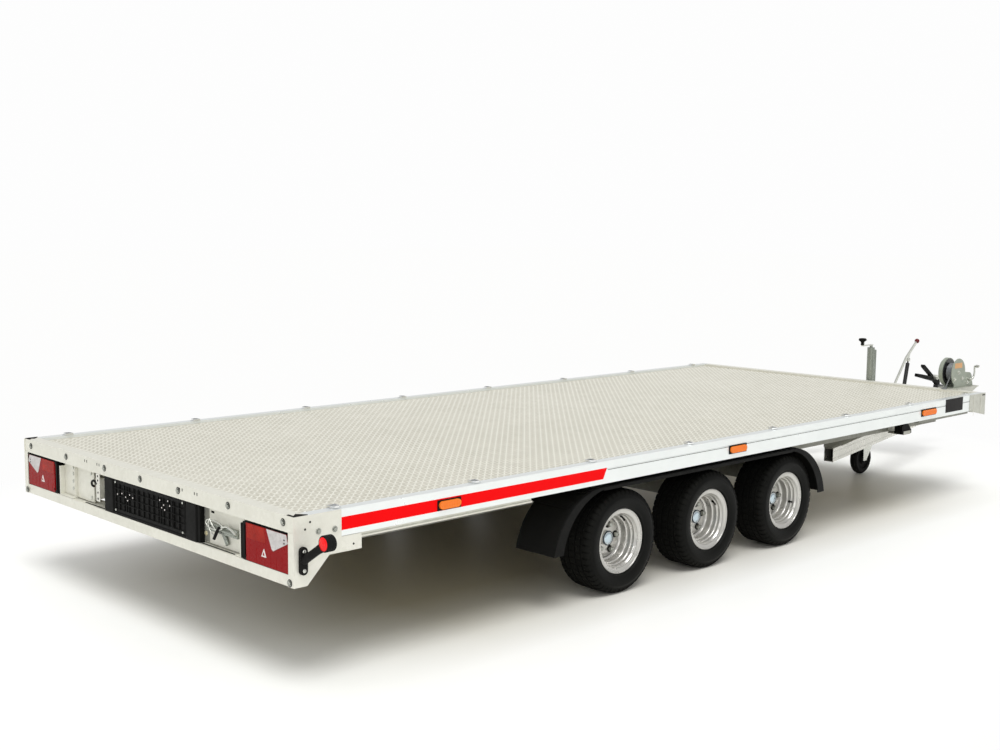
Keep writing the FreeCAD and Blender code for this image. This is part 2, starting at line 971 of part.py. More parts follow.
# Outer tube with its screw head on top
def jockey_leg():
    y = jockey_y()
    head = jockey_top - jockey_cap_h
    tube = pipe(vec(jockey_x, y, jockey_low), vec(jockey_x, y, head), jockey_tube_r, jockey_tube_wall)
    cap = upright(jockey_x, y, head, jockey_top, jockey_tube_r)
    nut = upright(jockey_x, y, jockey_top, jockey_top + crank_nut_h, crank_nut_r)
    return joined([tube, cap, nut])


def jockey_crank():
    y = jockey_y()
    z = jockey_top + crank_nut_h
    knob_x = jockey_x - crank_l + crank_end
    half = crank_w / 2
    knob_top = z + crank_t + crank_knob_h
    cap_foot = vec(knob_x, y, knob_top - crank_cap_h)
    arm = block(jockey_x - crank_l, jockey_x + crank_end, y - half, y + half, z, z + crank_t)
    stem = upright(knob_x, y, z + crank_t, knob_top, crank_stem_r)
    cap = Part.makeCone(crank_knob_r, crank_knob_r - crank_cap_slope, crank_cap_h, cap_foot, vec(0, 0, 1))
    return joined([arm, stem, cap])


# Inner tube that the screw drives out of the leg, with a spigot for the fork to turn on
def jockey_inner():
    y = jockey_y()
    foot = fork_top + seat_gap
    stem = upright(jockey_x, y, foot, jockey_inner_top, jockey_inner_r)
    spigot = upright(jockey_x, y, foot - fork_bridge_t - 1, foot, spigot_r)
    return joined([stem, spigot])


# Trailing fork that turns under the inner tube
def jockey_fork():
    y = jockey_y()
    x_axle = jockey_x - jockey_trail
    half = jockey_wheel_w / 2 + fork_gap
    outer = half + fork_t
    nose = jockey_x + fork_nose
    tail = x_axle - fork_tail
    low = jockey_wheel_r - fork_eye
    bridge = block(tail, nose, y - outer, y + outer, fork_top - fork_bridge_t, fork_top)
    bridge = bridge.cut(upright(jockey_x, y, fork_top - fork_drop, fork_top + past, spigot_r + run_gap))
    outline = [
        (tail, fork_top - fork_t), (x_axle - fork_foot, low), (x_axle + fork_foot, low),
        (nose, fork_top - fork_tail), (nose, fork_top - fork_t),
    ]
    cheeks = [
        prism(outline, "y", y - outer, y - half),
        prism(outline, "y", y + half, y + outer),
    ]
    axle = across(x_axle, y - outer, y + outer, jockey_wheel_r, jockey_axle_r)
    return joined([bridge, axle] + cheeks)


def jockey_wheel():
    half = jockey_wheel_w / 2
    r = jockey_wheel_r
    bore = jockey_axle_r + run_gap
    side_half = [
        (bore, half), (30, half), (34, half - 12), (66, half - 12),
        (70, half - 2), (r - 12, half), (r - 3, half - 9), (r, half - 16),
    ]
    profile = side_half + [(a, -b) for a, b in reversed(side_half)]
    return spun(profile, jockey_x - jockey_trail, jockey_y(), r)


# Arc over the tyre with a lip down its outer edge: way is -1 behind a wheel and +1 ahead of it
def mudguard(side):
    y0 = tyre_outer_y - tyre_w - guard_side
    y1 = rail_y - guard_side
    z = guard_top - guard_r
    inner_r = guard_r - guard_t
    ends = ((wheel_x[0] - guard_back, -1), (wheel_x[2], 1))
    top = block(ends[0][0], ends[1][0], y0, y1, guard_top - guard_t, guard_top)
    edge = block(ends[0][0], ends[1][0], y1 - guard_t, y1, guard_top - guard_lip, guard_top)
    shapes = [top, edge]
    for x, way in ends:
        keep = block(x, x + way * (guard_r + past), y0 - past, y1 + past, guard_foot, guard_top + past)
        shell = across(x, y0, y1, z, guard_r).cut(across(x, y0 - past, y1 + past, z, inner_r))
        skirt = across(x, y1 - guard_t, y1, z, guard_r)
        skirt = skirt.cut(across(x - way * skirt_depth, y0, y1 + past, z, inner_r))
        shapes += [shell.common(keep), skirt.common(keep)]
    return sided(joined(shapes), side)


# Flat bar from the chassis member out along the back of a mudguard
def mudguard_stay(x, side, way, angle):
    turn = math.radians(90 + way * (90 - angle))
    out = vec(math.cos(turn), 0, math.sin(turn))
    along = vec(-out.z, 0, out.x) * (stay_w / 2)
    centre = vec(x, 0, guard_top - guard_r) + out * (guard_r + seat_gap)
    corners = [centre - along, centre + along, centre + along + out * stay_t, centre - along + out * stay_t]
    end = rail_y - guard_side - guard_t - stay_short
    return sided(prism([(p.x, p.z) for p in corners], "y", chassis_y, end), side)


# Loading ramp: a channel with rungs, stowed flat under the deck
def ramp(side):
    y0 = ramp_y - ramp_w / 2
    y1 = ramp_y + ramp_w / 2
    x0 = ramp_face_x
    x1 = x0 + ramp_l
    high = ramp_z + ramp_h
    shapes = [
        block(x0, x1, y0, y0 + ramp_t, ramp_z, high),
        block(x0, x1, y1 - ramp_t, y1, ramp_z, high),
        block(x0, x1, y0, y0 + ramp_lip, ramp_z, ramp_z + ramp_t),
        block(x0, x1, y1 - ramp_lip, y1, ramp_z, ramp_z + ramp_t),
        block(x0, x0 + ramp_t, y0 - ramp_end_side, y1 + ramp_end_side, ramp_end_low, ramp_end_high),
    ]
    pitch = (ramp_l - 2 * rung_end) / (rung_count - 1)
    for i in range(rung_count):
        x = x0 + rung_end + i * pitch
        shapes.append(block(x - rung_w / 2, x + rung_w / 2, y0, y1, high - rung_w, high))
    return sided(joined(shapes), side)


# Pair of angle runners that carry a ramp
def ramp_runners(side):
    y0 = ramp_y - ramp_w / 2
    y1 = ramp_y + ramp_w / 2
    high = ramp_z - seat_gap
    low = high - runner_t
    runners = []
    for edge, way in ((y0 - runner_side, 1), (y1 + runner_side, -1)):
        base = block(rear_sill_w, ramp_l, edge, edge + way * runner_w, low, high)
        wall = block(rear_sill_w, ramp_l, edge, edge + way * runner_wall, low, chassis_top)
        runners.append(sided(joined([base, wall]), side))
    return runners


# Lamp housing with a raised rim round its recessed lens
def rear_lamp(side):
    y0 = body_w / 2 - lamp_inset
    y1 = rail_y - post_w + plate_t - lamp_outer_gap
    z0 = rear_sill_top
    z1 = z0 + lamp_h
    body = block(lamp_x, lamp_x + lamp_depth, y0, y1, z0, z1)
    recess = block(
        lamp_x - past, lamp_x + lamp_recess,
        y0 + lamp_rim, y1 - lamp_rim, z0 + lamp_rim, z1 - lamp_rim,
    )
    return sided(body.cut(recess), side)


# Rubber arm on the side plate with a round lamp head facing the rear
def outline_lamp(side):
    y0 = body_w / 2
    x = outline_x
    half = outline_base_w / 2
    z_mid = outline_low + outline_base_h / 2
    base = block(x - half, x + half, y0, y0 + outline_base_t, outline_low, outline_low + outline_base_h)
    head_y = y0 + outline_reach
    head_z = z_mid + outline_rise
    r = outline_head_r
    stalk_foot = vec(x, y0 + outline_base_t - past, z_mid)
    stalk = rod(stalk_foot, vec(x + r / 2, head_y - r / 2, head_z - r / 2), outline_stalk_r)
    x0 = x - outline_base_t
    x1 = x0 + outline_head_l
    lens = outline_lens_l
    head = turned(
        [(x0, 0), (x0, r - lens / 2), (x0 + lens / 2, r - past), (x0 + lens, r - past), (x0 + lens, r),
         (x1 - lens, r), (x1, r - lens / 2), (x1, 0)],
        head_y, head_z,
    )
    return sided(joined([base, stalk, head]), side)


# Amber lamp with round ends, standing off the rail
def side_marker(x0, x1):
    y0 = body_w / 2 - plate_t
    y1 = y0 + plate_t + marker_t
    r = marker_h / 2
    z = marker_low + r
    bar = block(x0 + r, x1 - r, y0, y1, marker_low, marker_low + marker_h)
    return joined([bar, across(x0 + r, y0, y1, z, r), across(x1 - r, y0, y1, z, r)])


def side_markers():
    starts_and_lengths = (
        (side_plate_l + marker_rear_gap, marker_rear_l),
        (wheel_mid_x + marker_mid_ahead, marker_mid_l),
        (deck_l - marker_front_back, marker_front_l),
    )
    return [sided(side_marker(x, x + l), side) for x, l in starts_and_lengths for side in (1, -1)]


# D ring folded down flat on a small plate on the rail's top face
def lashing_ring(x, side):
    y = rail_inner_y + ring_inset
    low = rail_top + ring_plate_t
    plate = block(
        x - ring_plate_l / 2, x + ring_plate_l / 2,
        y - ring_plate_w / 2, y + ring_plate_w / 2, rail_top, low,
    )
    loops = []
    high = low + ring_wire
    for r, z0, z1 in ((ring_r, low, high), (ring_r - ring_wire, low - past, high + past)):
        bow = [(-r, -r), (r, -r), (r, r * 0.3), (r * 0.5, r), (-r * 0.5, r), (-r, r * 0.3)]
        loops.append(prism([(x + a, y + b) for a, b in bow], "z", z0, z1))
    return sided(joined([plate, loops[0].cut(loops[1])]), side)


def lashing_rings():
    pitch = (deck_l - 2 * ring_end) / (ring_count - 1)
    spots = [ring_end + i * pitch for i in range(ring_count)]
    return [lashing_ring(x, side) for x in spots for side in (1, -1)]


# Moulded carrier: an open tray with upright ribs
def plate_tray():
    tray = block(carrier_x, carrier_back, carrier_right, carrier_left, carrier_low, carrier_high)
    width = carrier_left - carrier_right - 2 * carrier_rim
    cell = (width - (carrier_ribs - 1) * carrier_rib_t) / carrier_ribs
    for i in range(carrier_ribs):
        y0 = carrier_right + carrier_rim + i * (cell + carrier_rib_t)
        cut = block(
            carrier_x - past, carrier_floor,
            y0, y0 + cell, carrier_low + carrier_rim, carrier_high - carrier_rim,
        )
        tray = tray.cut(cut)
    return tray


# Plate lamp housings beside the tray and the straps behind it
def carrier_mounts():
    low = rear_sill_top
    high = rear_beam_low
    gap = carrier_rim - 3
    shapes = [
        block(lamp_x, plate_lamp_back, carrier_left + gap, carrier_left + gap + plate_lamp_w, low, high),
        block(lamp_x, plate_lamp_back, carrier_right - gap - plate_lamp_w, carrier_right - gap, low, high),
    ]
    back = carrier_back + seat_gap
    for y in (carrier_left - strap_in, carrier_right + strap_in):
        shapes.append(block(back, back + strap_t, y - strap_w / 2, y + strap_w / 2, low, high))
    return shapes


# Toggle latch on the right ramp's end
def ramp_latch():
    y0 = latch_y - latch_w / 2
    y1 = latch_y + latch_w / 2
    back = ramp_face_x - seat_gap
    face = latch_x + latch_set
    bar_z = latch_low + latch_h / 2
    body = block(face, back, y0, y1, latch_low, latch_low + latch_h)
    bar = rod(vec(face, y0 + latch_set, bar_z), vec(face, y1 - latch_set, bar_z), latch_bar_r)
    grip_x = face + latch_grip_r / 2
    grip = rod(
        vec(grip_x, latch_y - latch_grip_off, latch_low + latch_grip_seat),
        vec(grip_x, latch_y - latch_grip_off - latch_grip_run, latch_low - latch_grip_drop),
        latch_grip_r,
    )
    return joined([body, bar, grip])


# Angle plate bolted to the front beam that carries the winch
def winch_bracket():
    x0 = deck_l + seat_gap
    x1 = winch_x + winch_l / 2 + bracket_over
    half = shelf_w / 2
    low = winch_base - shelf_t
    flange = block(x0, x0 + shelf_t, winch_y - half, winch_y + half, winch_flange_low, winch_base)
    shelf = block(deck_l - shelf_lap, x1, winch_y - half, winch_y + half, low, winch_base)
    shapes = [flange, shelf]
    for y in (winch_y - half, winch_y + half - shelf_t):
        outline = [(x0 + shelf_t, winch_flange_low + 5), (x1 - 15, low), (x0 + shelf_t, low)]
        shapes.append(prism(outline, "y", y, y + shelf_t))
    return joined(shapes)


# Side plates with round lobes on a base, and the gear cover on the left
def winch_frame():
    z0 = winch_base
    x0 = winch_x - winch_l / 2
    x1 = winch_x + winch_l / 2
    right = winch_y - winch_w / 2
    left = winch_y + winch_w / 2
    shaft_x = winch_x + crank_shaft_ahead
    crank_z = winch_base + crank_shaft_h
    outline = [
        (x0, z0), (x1, z0), (shaft_x + crank_lobe_r, crank_z), (shaft_x, crank_z + crank_lobe_r),
        (drum_x + lobe_r * 0.9, drum_z), (drum_x - lobe_r * 0.5, drum_z - lobe_r * 0.8),
    ]
    plates = []
    for y in (right - winch_t, left):
        plates.append(prism(outline, "y", y, y + winch_t))
        plates.append(across(drum_x, y, y + winch_t, drum_z, lobe_r))
        plates.append(across(shaft_x, y, y + winch_t, crank_z, crank_lobe_r))
    base = block(x0, x1, right, left, z0, z0 + winch_t)
    cover = spun(
        [
            (0, 0), (cover_r, 0), (cover_r, cover_l - cover_edge),
            (cover_r - cover_edge, cover_l), (0, cover_l),
        ],
        drum_x, left + winch_t, drum_z,
    )
    return joined(plates + [base, cover])


# Drum wound with rope between two flanges
def winch_drum():
    half = winch_w / 2
    t = drum_flange_t
    profile = [
        (0, -half), (winch_drum_r, -half), (winch_drum_r, t - half), (winding_r, t - half),
        (winding_r, half - t), (winch_drum_r, half - t), (winch_drum_r, half), (0, half),
    ]
    return spun(profile, drum_x, winch_y, drum_z)


# Rope from the drum to a flat hook that rests on the front beam
def winch_rope():
    y = winch_y + hook_y
    front = deck_l - shelf_lap - hook_back
    low = rail_top + seat_gap
    high = low + hook_t
    links = []
    for inset, z0, z1 in ((0, low, high), (hook_wire, low - past, high + past)):
        x0 = front - hook_l + inset
        x1 = front - inset
        r = hook_w / 2 - inset
        bar = block(x0 + r, x1 - r, y - r, y + r, z0, z1)
        links.append(joined([bar, upright(x0 + r, y, z0, z1, r), upright(x1 - r, y, z0, z1, r)]))
    end = vec(front - hook_wire / 2, y, high - rope_r)
    lean = (end - vec(drum_x, end.y, drum_z)).normalize()
    reach = winding_r + rope_r + seat_gap
    far = math.hypot(end.x - drum_x, end.z - drum_z)
    turn = math.acos(reach / far)
    side_x = lean.x * math.cos(turn) + lean.z * math.sin(turn)
    side_z = lean.z * math.cos(turn) - lean.x * math.sin(turn)
    start = vec(drum_x + side_x * reach, winch_y + rope_y, drum_z + side_z * reach)
    return joined([links[0].cut(links[1]), rod(start, end, rope_r)])


def winch_crank():
    z = winch_base + crank_shaft_h
    x = winch_x + crank_shaft_ahead
    plate = winch_y - winch_w / 2 - winch_t
    out = plate - crank_shaft_l
    knob_x = x + crank_reach
    knob_z = z + crank_rise
    shaft = across(x, out, plate, z, crank_shaft_r)
    arm = prism(
        [(x - crank_arm_w, z - crank_arm_w), (x + crank_arm_w, z - crank_arm_w),
         (knob_x + crank_arm_w, knob_z), (knob_x - crank_arm_w / 2, knob_z + crank_arm_w)],
        "y", out, out + crank_arm_t,
    )
    knob = across(knob_x, out - crank_grip_l, out, knob_z, crank_grip_r)
    return joined([shaft, arm, knob])


# Rubber chock behind the right rear of the front frame, and the sheet holder that carries it
def wheel_chock():
    x0 = deck_l - chock_back
    y1 = -chassis_y - chock_gap
    high = chock_low + chock_h
    outline = [
        (x0, chock_low), (x0 + chock_l, chock_low), (x0 + chock_l, chock_low + chock_toe),
        (x0 + chock_top_l, high), (x0 + chock_toe / 2, high), (x0, high - chock_toe / 2),
    ]
    return prism(outline, "y", y1 - chock_w, y1)


def chock_holder():
    x0 = deck_l - chock_back + chock_hold
    x1 = x0 + chock_l - 2 * chock_hold
    y1 = -chassis_y
    y0 = y1 - chock_gap - chock_w - seat_gap
    low = chock_low - seat_gap
    back = block(x0, x1, y1 - holder_t, y1, low - holder_t, chassis_top - chock_hold)
    floor = block(x0, x1, y0 - holder_t, y1, low - holder_t, low)
    lip = block(x0, x1, y0 - holder_t, y0, low - holder_t, low + chock_toe)
    return joined([back, floor, lip])


def build():
    sides = (("Left", 1), ("Right", -1))
    both = (1, -1)
    save("deckPlate", [deck_plate()])
    save("rearBeam", [cross_tube(plate_t, rear_beam_w, rail_y, rear_beam_low, rail_top)])
    save("rearSill", [rear_sill()])
    save("frontBeam", [cross_tube(deck_l - front_beam_w, deck_l, rail_inner_y, front_beam_low, rail_top)])
    save("rearCorners", [sided(rear_corner(), side) for side in both])
    save("frontCorners", [sided(front_corner(), side) for side in both])
    save("chassisMembers", [sided(chassis_member(), side) for side in both])
    save("drawbarArms", [sided(drawbar_arm(), side) for side in both])
    save("rearLamps", [rear_lamp(side) for side in both])
    for name, side in sides:
        save("rail" + name, [sided(side_rail(), side)])
        save("ramp" + name, [ramp(side)])
    save("crossMembers", cross_members())
    save("axleTubes", [axle_tube(x) for x in wheel_x])
    for name, x in zip(("Rear", "Middle", "Front"), wheel_x):
        for side_name, side in sides:
            save("tyre" + name + side_name, [tyre(x, side)])
            save("rim" + name + side_name, [rim(x, side)])
    save("swingArms", [swing_arm(x, side) for x in wheel_x for side in both])
    save("axleBrackets", [axle_bracket(x, side) for x in wheel_x for side in both])
    save("armHangers", [sided(plate, side) for plate in arm_hangers() for side in both])
    save("drawbarHead", [drawbar_head()])
    save("overrunHousing", [overrun_housing()])
    save("bellows", [bellows()])
    save("couplingHead", [coupling_head()])
    save("couplingHandle", [coupling_handle()])
    save("handbrakeLever", [handbrake()])
    save("gasStrut", [gas_strut()])
    save("jockeyClamp", [jockey_clamp()])
    save("jockeyLeg", [jockey_leg()])
    save("jockeyCrank", [jockey_crank()])
    save("jockeyInner", [jockey_inner()])
    save("jockeyFork", [jockey_fork()])
    save("jockeyWheel", [jockey_wheel()])
    guards = ((wheel_x[0] - guard_back, -1), (wheel_x[2], 1))
    stays = [mudguard_stay(x, side, way, a) for x, way in guards for side in both for a in stay_angles]
    between = [x + wheel_pitch / 2 for x in wheel_x[:2]]
    stays += [mudguard_stay(x, side, 1, 90) for x in between for side in both]
    save("mudguards", [mudguard(side) for side in both])
    save("mudguardStays", stays)
    save("rampRunners", [solid for side in both for solid in ramp_runners(side)])
    save("outlineLamps", [outline_lamp(side) for side in both])
    save("sideMarkers", side_markers())
    save("lashingRings", lashing_rings())
    save("plateCarrier", [plate_tray()] + carrier_mounts())
    save("rampLatch", [ramp_latch()])
    save("winchBracket", [winch_bracket()])
    save("winchFrame", [winch_frame()])
    save("winchDrum", [winch_drum()])
    save("winchCrank", [winch_crank()])
    save("winchRope", [winch_rope()])
    save("wheelChock", [wheel_chock()])
    save("chockHolder", [chock_holder()])


os.makedirs("parts", exist_ok=True)
build()
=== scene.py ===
import bpy
import bmesh
import math
import numpy as np
from mathutils import Matrix, Vector


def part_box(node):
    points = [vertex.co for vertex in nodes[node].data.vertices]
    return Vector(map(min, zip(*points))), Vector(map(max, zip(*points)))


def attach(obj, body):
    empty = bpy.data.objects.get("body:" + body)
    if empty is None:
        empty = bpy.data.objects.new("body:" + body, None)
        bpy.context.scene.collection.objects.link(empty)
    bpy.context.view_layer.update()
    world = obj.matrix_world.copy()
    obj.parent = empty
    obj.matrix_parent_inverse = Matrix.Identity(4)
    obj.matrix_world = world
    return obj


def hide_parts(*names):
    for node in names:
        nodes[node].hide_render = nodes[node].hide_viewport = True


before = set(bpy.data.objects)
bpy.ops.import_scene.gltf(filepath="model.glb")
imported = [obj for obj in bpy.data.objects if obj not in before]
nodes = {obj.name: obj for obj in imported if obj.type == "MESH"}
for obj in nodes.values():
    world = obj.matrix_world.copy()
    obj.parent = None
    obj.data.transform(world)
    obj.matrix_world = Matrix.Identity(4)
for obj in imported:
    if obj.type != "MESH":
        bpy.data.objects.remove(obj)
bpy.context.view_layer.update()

# Three-axle car hauler trailer, dressed over its CAD frame. Metres, +X forward, +Y left, +Z up.
bothSides = (("Left", 1), ("Right", -1))
signs = (1, -1)
rearward = (-1, 0, 0)
upward = (0, 0, 1)


# Mesh helpers: every shape is a (points, faces) pair until makeObject
def gridFaces(rows, cols, wrapRows=False, wrapCols=False):
    i = np.arange(rows if wrapRows else rows - 1)
    j = np.arange(cols if wrapCols else cols - 1)
    i, j = [g.ravel() for g in np.meshgrid(i, j, indexing="ij")]
    i1, j1 = (i + 1) % rows, (j + 1) % cols
    return np.stack([i * cols + j, i1 * cols + j, i1 * cols + j1, i * cols + j1], axis=1).tolist()


def turned(profile, count, centre=(0, 0, 0), axis="y"):
    # Point = centre + along * axis + r * (cos a, sin a) across it, for (r, along) in the profile
    p = np.array(profile, float)
    a = np.linspace(0, 2 * math.pi, count, endpoint=False)
    r = np.maximum(p[:, 0], 1e-5)
    c, s, h = np.outer(r, np.cos(a)), np.outer(r, np.sin(a)), np.repeat(p[:, 1:2], count, axis=1)
    order = {"x": (h, c, s), "y": (c, h, s), "z": (c, s, h)}[axis]
    pts = np.stack(order, axis=-1).reshape(-1, 3) + np.array(centre)
    return pts, gridFaces(len(p), count, wrapCols=True)


def extruded(outline, axis, start, end):
    # Closed outline in the plane across an axis, carried from start to end along it
    o = np.array(outline, float)
    n = len(o)
    k = {"x": 0, "y": 1, "z": 2}[axis]
    pts = np.zeros((2 * n, 3))
    others = [m for m in range(3) if m != k]
    for half, at in ((0, start), (1, end)):
        pts[half * n:(half + 1) * n, k] = at
        pts[half * n:(half + 1) * n, others[0]] = o[:, 0]
        pts[half * n:(half + 1) * n, others[1]] = o[:, 1]
    sides = [[i, (i + 1) % n, n + (i + 1) % n, n + i] for i in range(n)]
    return pts, sides + [list(range(n)), list(range(n, 2 * n))]


def slab(lo, hi):
    lo, hi = np.minimum(lo, hi), np.maximum(lo, hi)
    return extruded([(lo[0], lo[1]), (hi[0], lo[1]), (hi[0], hi[1]), (lo[0], hi[1])], "z", lo[2], hi[2])


def smoothPath(points, steps=8):
    # Catmull-Rom spline through the points
    q = np.array(points, float)
    q = np.vstack([2 * q[0] - q[1], q, 2 * q[-1] - q[-2]])
    t = np.linspace(0, 1, steps, endpoint=False)[None, :, None]
    a, b, c, d = [q[k:len(q) - 3 + k][:, None, :] for k in range(4)]
    square, cube = 2 * a - 5 * b + 4 * c - d, 3 * b - a - 3 * c + d
    run = 0.5 * (2 * b + (c - a) * t + square * t ** 2 + cube * t ** 3)
    return np.vstack([run.reshape(-1, 3), q[-2]])


def tube(path, radius, sides=12, flat=1.0):
    # Ring k = path[k] + r (cos a * n + flat * sin a * b), with n and b across the path
    p = np.array(path, float)
    t = np.gradient(p, axis=0)
    t /= np.linalg.norm(t, axis=1)[:, None]
    ref = np.array([0, 0, 1.0]) if abs(t[:, 2]).mean() < 0.8 else np.array([1.0, 0, 0])
    n = np.cross(t, ref)
    n /= np.linalg.norm(n, axis=1)[:, None]
    b = np.cross(t, n)
    a = np.linspace(0, 2 * math.pi, sides, endpoint=False)
    r = np.broadcast_to(np.asarray(radius, float), (len(p),))[:, None, None]
    ca, sa = np.cos(a)[None, :, None], np.sin(a)[None, :, None]
    ring = r * (ca * n[:, None, :] + flat * sa * b[:, None, :])
    pts = (p[:, None, :] + ring).reshape(-1, 3)
    ends = [list(range(sides)), list(range(len(pts) - sides, len(pts)))]
    return pts, gridFaces(len(p), sides, wrapCols=True) + ends


def aimed(shape, direction, place):
    # Turns a shape drawn along +Z so that it points along direction, then places it
    turn = np.array(Vector((0, 0, 1)).rotation_difference(Vector(direction)).to_matrix())
    return shape[0] @ turn.T + np.array(place), shape[1]


def mirroredY(shape):
    return shape[0] * np.array([1, -1, 1]), shape[1]


def joined(shapes):
    pts, faces, base = [], [], 0
    for p, f in shapes:
        pts.append(np.asarray(p, float))
        if len({len(x) for x in f}) == 1:
            faces += (np.array(f) + base).tolist()
        else:
            faces += [[i + base for i in x] for x in f]
        base += len(p)
    return np.vstack(pts), faces


def bothWays(shape):
    return joined([shape, mirroredY(shape)])


def newObject(name, data):
    obj = bpy.data.objects.new(name, data)
    bpy.context.scene.collection.objects.link(obj)
    return obj


def makeObject(name, shape, look, body="chassis", smooth=35.0, bevel=0.0, segments=2):
    mesh = bpy.data.meshes.new(name)
    mesh.from_pydata(shape[0].tolist(), [], shape[1])
    mesh.update()
    bm = bmesh.new()
    bm.from_mesh(mesh)
    bmesh.ops.remove_doubles(bm, verts=bm.verts, dist=2e-5)
    bmesh.ops.recalc_face_normals(bm, faces=bm.faces)
    bm.to_mesh(mesh)
    bm.free()
    obj = newObject(name, mesh)
    mesh.materials.append(mats[look])
    if bevel:
        cut = obj.modifiers.new("edges", "BEVEL")
        cut.width = bevel
        cut.segments = segments
        cut.limit_method = "ANGLE"
        cut.angle_limit = math.radians(30)
    if smooth:
        mesh.shade_smooth()
        mesh.set_sharp_from_angle(angle=math.radians(smooth))
    if body:
        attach(obj, body)
    return obj


# Shader helpers
def newNode(tree, kind, settings=None, **inputs):
    n = tree.nodes.new(kind)
    for key, value in (settings or {}).items():
        setattr(n, key, value)
    for key, value in inputs.items():
        numbered = key[0] == "i" and key[1:].isdigit()
        socket = n.inputs[int(key[1:])] if numbered else n.inputs[key.replace("_", " ")]
        if isinstance(value, bpy.types.NodeSocket):
            tree.links.new(value, socket)
        else:
            socket.default_value = value
    return n


def blend(tree, fac, a, b):
    n = newNode(tree, "ShaderNodeMix", {"data_type": "RGBA"})
    for socket, value in ((n.inputs[0], fac), (n.inputs[6], a), (n.inputs[7], b)):
        if isinstance(value, bpy.types.NodeSocket):
            tree.links.new(value, socket)
        elif isinstance(value, (tuple, list)):
            socket.default_value = (*value, 1)
        else:
            socket.default_value = value
    return n.outputs[2]


def maths(tree, op, a, b=0.5):
    return newNode(tree, "ShaderNodeMath", {"operation": op}, i0=a, i1=b).outputs[0]


def times(tree, a, b):
    return maths(tree, "MULTIPLY", a, b)


def plus(tree, a, b):
    return maths(tree, "ADD", a, b)


def spread(tree, value, low, high, outLow, outHigh):
    inputs = dict(i0=value, i1=low, i2=high, i3=outLow, i4=outHigh)
    return newNode(tree, "ShaderNodeMapRange", **inputs).outputs[0]


def newGroup(name, scale, outs, build):
    g = bpy.data.node_groups.new(name, "ShaderNodeTree")
    s = g.interface.new_socket(name="Scale", in_out="INPUT", socket_type="NodeSocketFloat")
    s.default_value = scale
    for title in outs:
        g.interface.new_socket(name=title, in_out="OUTPUT", socket_type="NodeSocketFloat")
    a = g.nodes.new("NodeGroupInput")
    b = g.nodes.new("NodeGroupOutput")
    for socket, value in zip(b.inputs, build(g, a.outputs)):
        g.links.new(value, socket)
    return g


def objectSpace(tree):
    return tree.nodes.new("ShaderNodeTexCoord").outputs["Object"]


def noise(tree, where, scale, detail, roughness=0.5):
    inputs = dict(Vector=where, Scale=scale, Detail=detail, Roughness=roughness)
    return newNode(tree, "ShaderNodeTexNoise", **inputs).outputs


def buildGrime(g, ins):
    where = objectSpace(g)
    fineScale = times(g, ins["Scale"], 9.0)
    big = noise(g, where, ins["Scale"], 5.0, 0.62)[0]
    small = noise(g, where, fineScale, 3.0)[0]
    mixed = plus(g, times(g, big, 0.7), times(g, small, 0.3))
    return [spread(g, mixed, 0.36, 0.78, 0.0, 1.0), small]


def buildSpangle(g, ins):
    where = objectSpace(g)
    warpScale = times(g, ins["Scale"], 1.7)
    warp = noise(g, where, warpScale, 2.0)[1]
    sway = {"operation": "MULTIPLY_ADD"}
    bent = newNode(g, "ShaderNodeVectorMath", sway, i0=warp, i1=(0.02, 0.02, 0.02), i2=where).outputs[0]
    cells = newNode(g, "ShaderNodeTexVoronoi", Vector=bent, Scale=ins["Scale"])
    return [newNode(g, "ShaderNodeSeparateColor", i0=cells.outputs[1]).outputs[0]]


def buildLines(g, ins):
    where = objectSpace(g)
    squeezed = newNode(g, "ShaderNodeMapping", i0=where, Scale=(0.6, 60.0, 60.0)).outputs[0]
    return [noise(g, squeezed, ins["Scale"], 4.0, 0.7)[0]]


groups = {
    "grime": newGroup("grimeMask", 3.0, ["Mask", "Fine"], buildGrime),
    "spangle": newGroup("spangleCells", 60.0, ["Tone"], buildSpangle),
    "lines": newGroup("drawnLines", 3.0, ["Line"], buildLines),
}


def useGroup(tree, name, scale):
    n = tree.nodes.new("ShaderNodeGroup")
    n.node_tree = groups[name]
    n.inputs["Scale"].default_value = scale
    return n.outputs


def finish(tree, colour, roughness, height, metallic=0.0, bump=0.1, specular=0.5, coat=0.0, depth=0.0008):
    out = tree.nodes.new("ShaderNodeOutputMaterial")
    inputs = dict(Base_Color=colour, Roughness=roughness, Metallic=metallic)
    p = newNode(tree, "ShaderNodeBsdfPrincipled", **inputs)
    p.inputs["Specular IOR Level"].default_value = specular
    p.inputs["Coat Weight"].default_value = coat
    p.inputs["Coat Roughness"].default_value = 0.08
    b = newNode(tree, "ShaderNodeBump", Strength=bump, Distance=depth, Height=height)
    tree.links.new(b.outputs[0], p.inputs["Normal"])
    tree.links.new(p.outputs[0], out.inputs[0])


def emptyMaterial(name):
    m = bpy.data.materials.new(name)
    m.use_nodes = True
    m.node_tree.nodes.clear()
    return m


def surface(name, relief, base, worn, rough, metallic, grain, bump, grime, dirt, coat=0.0, specular=0.5,
            shade=0.35):
    # One painted, plated, extruded or moulded surface: colour from two tones and dirt, then relief
    m = emptyMaterial(name)
    t = m.node_tree
    where = objectSpace(t)
    mask, fine = useGroup(t, "grime", grime)
    if relief in groups:
        tone = useGroup(t, relief, grain)[0]
    else:
        tone = noise(t, where, grain, 6.0 if relief == "brushed" else 2.0, 0.65)[0]
    height = plus(t, times(t, tone, 0.6), times(t, fine, 0.4)) if relief == "spangle" else tone
    pale = blend(t, times(t, tone, shade), base, worn)
    dark = tuple(v * 0.45 for v in base)
    colour = blend(t, times(t, mask, dirt), pale, dark)
    wear = plus(t, times(t, mask, 0.6), times(t, fine, 0.4))
    finish(t, colour, spread(t, wear, 0.1, 0.8, *rough), height, metallic, bump, specular, coat)
    return m


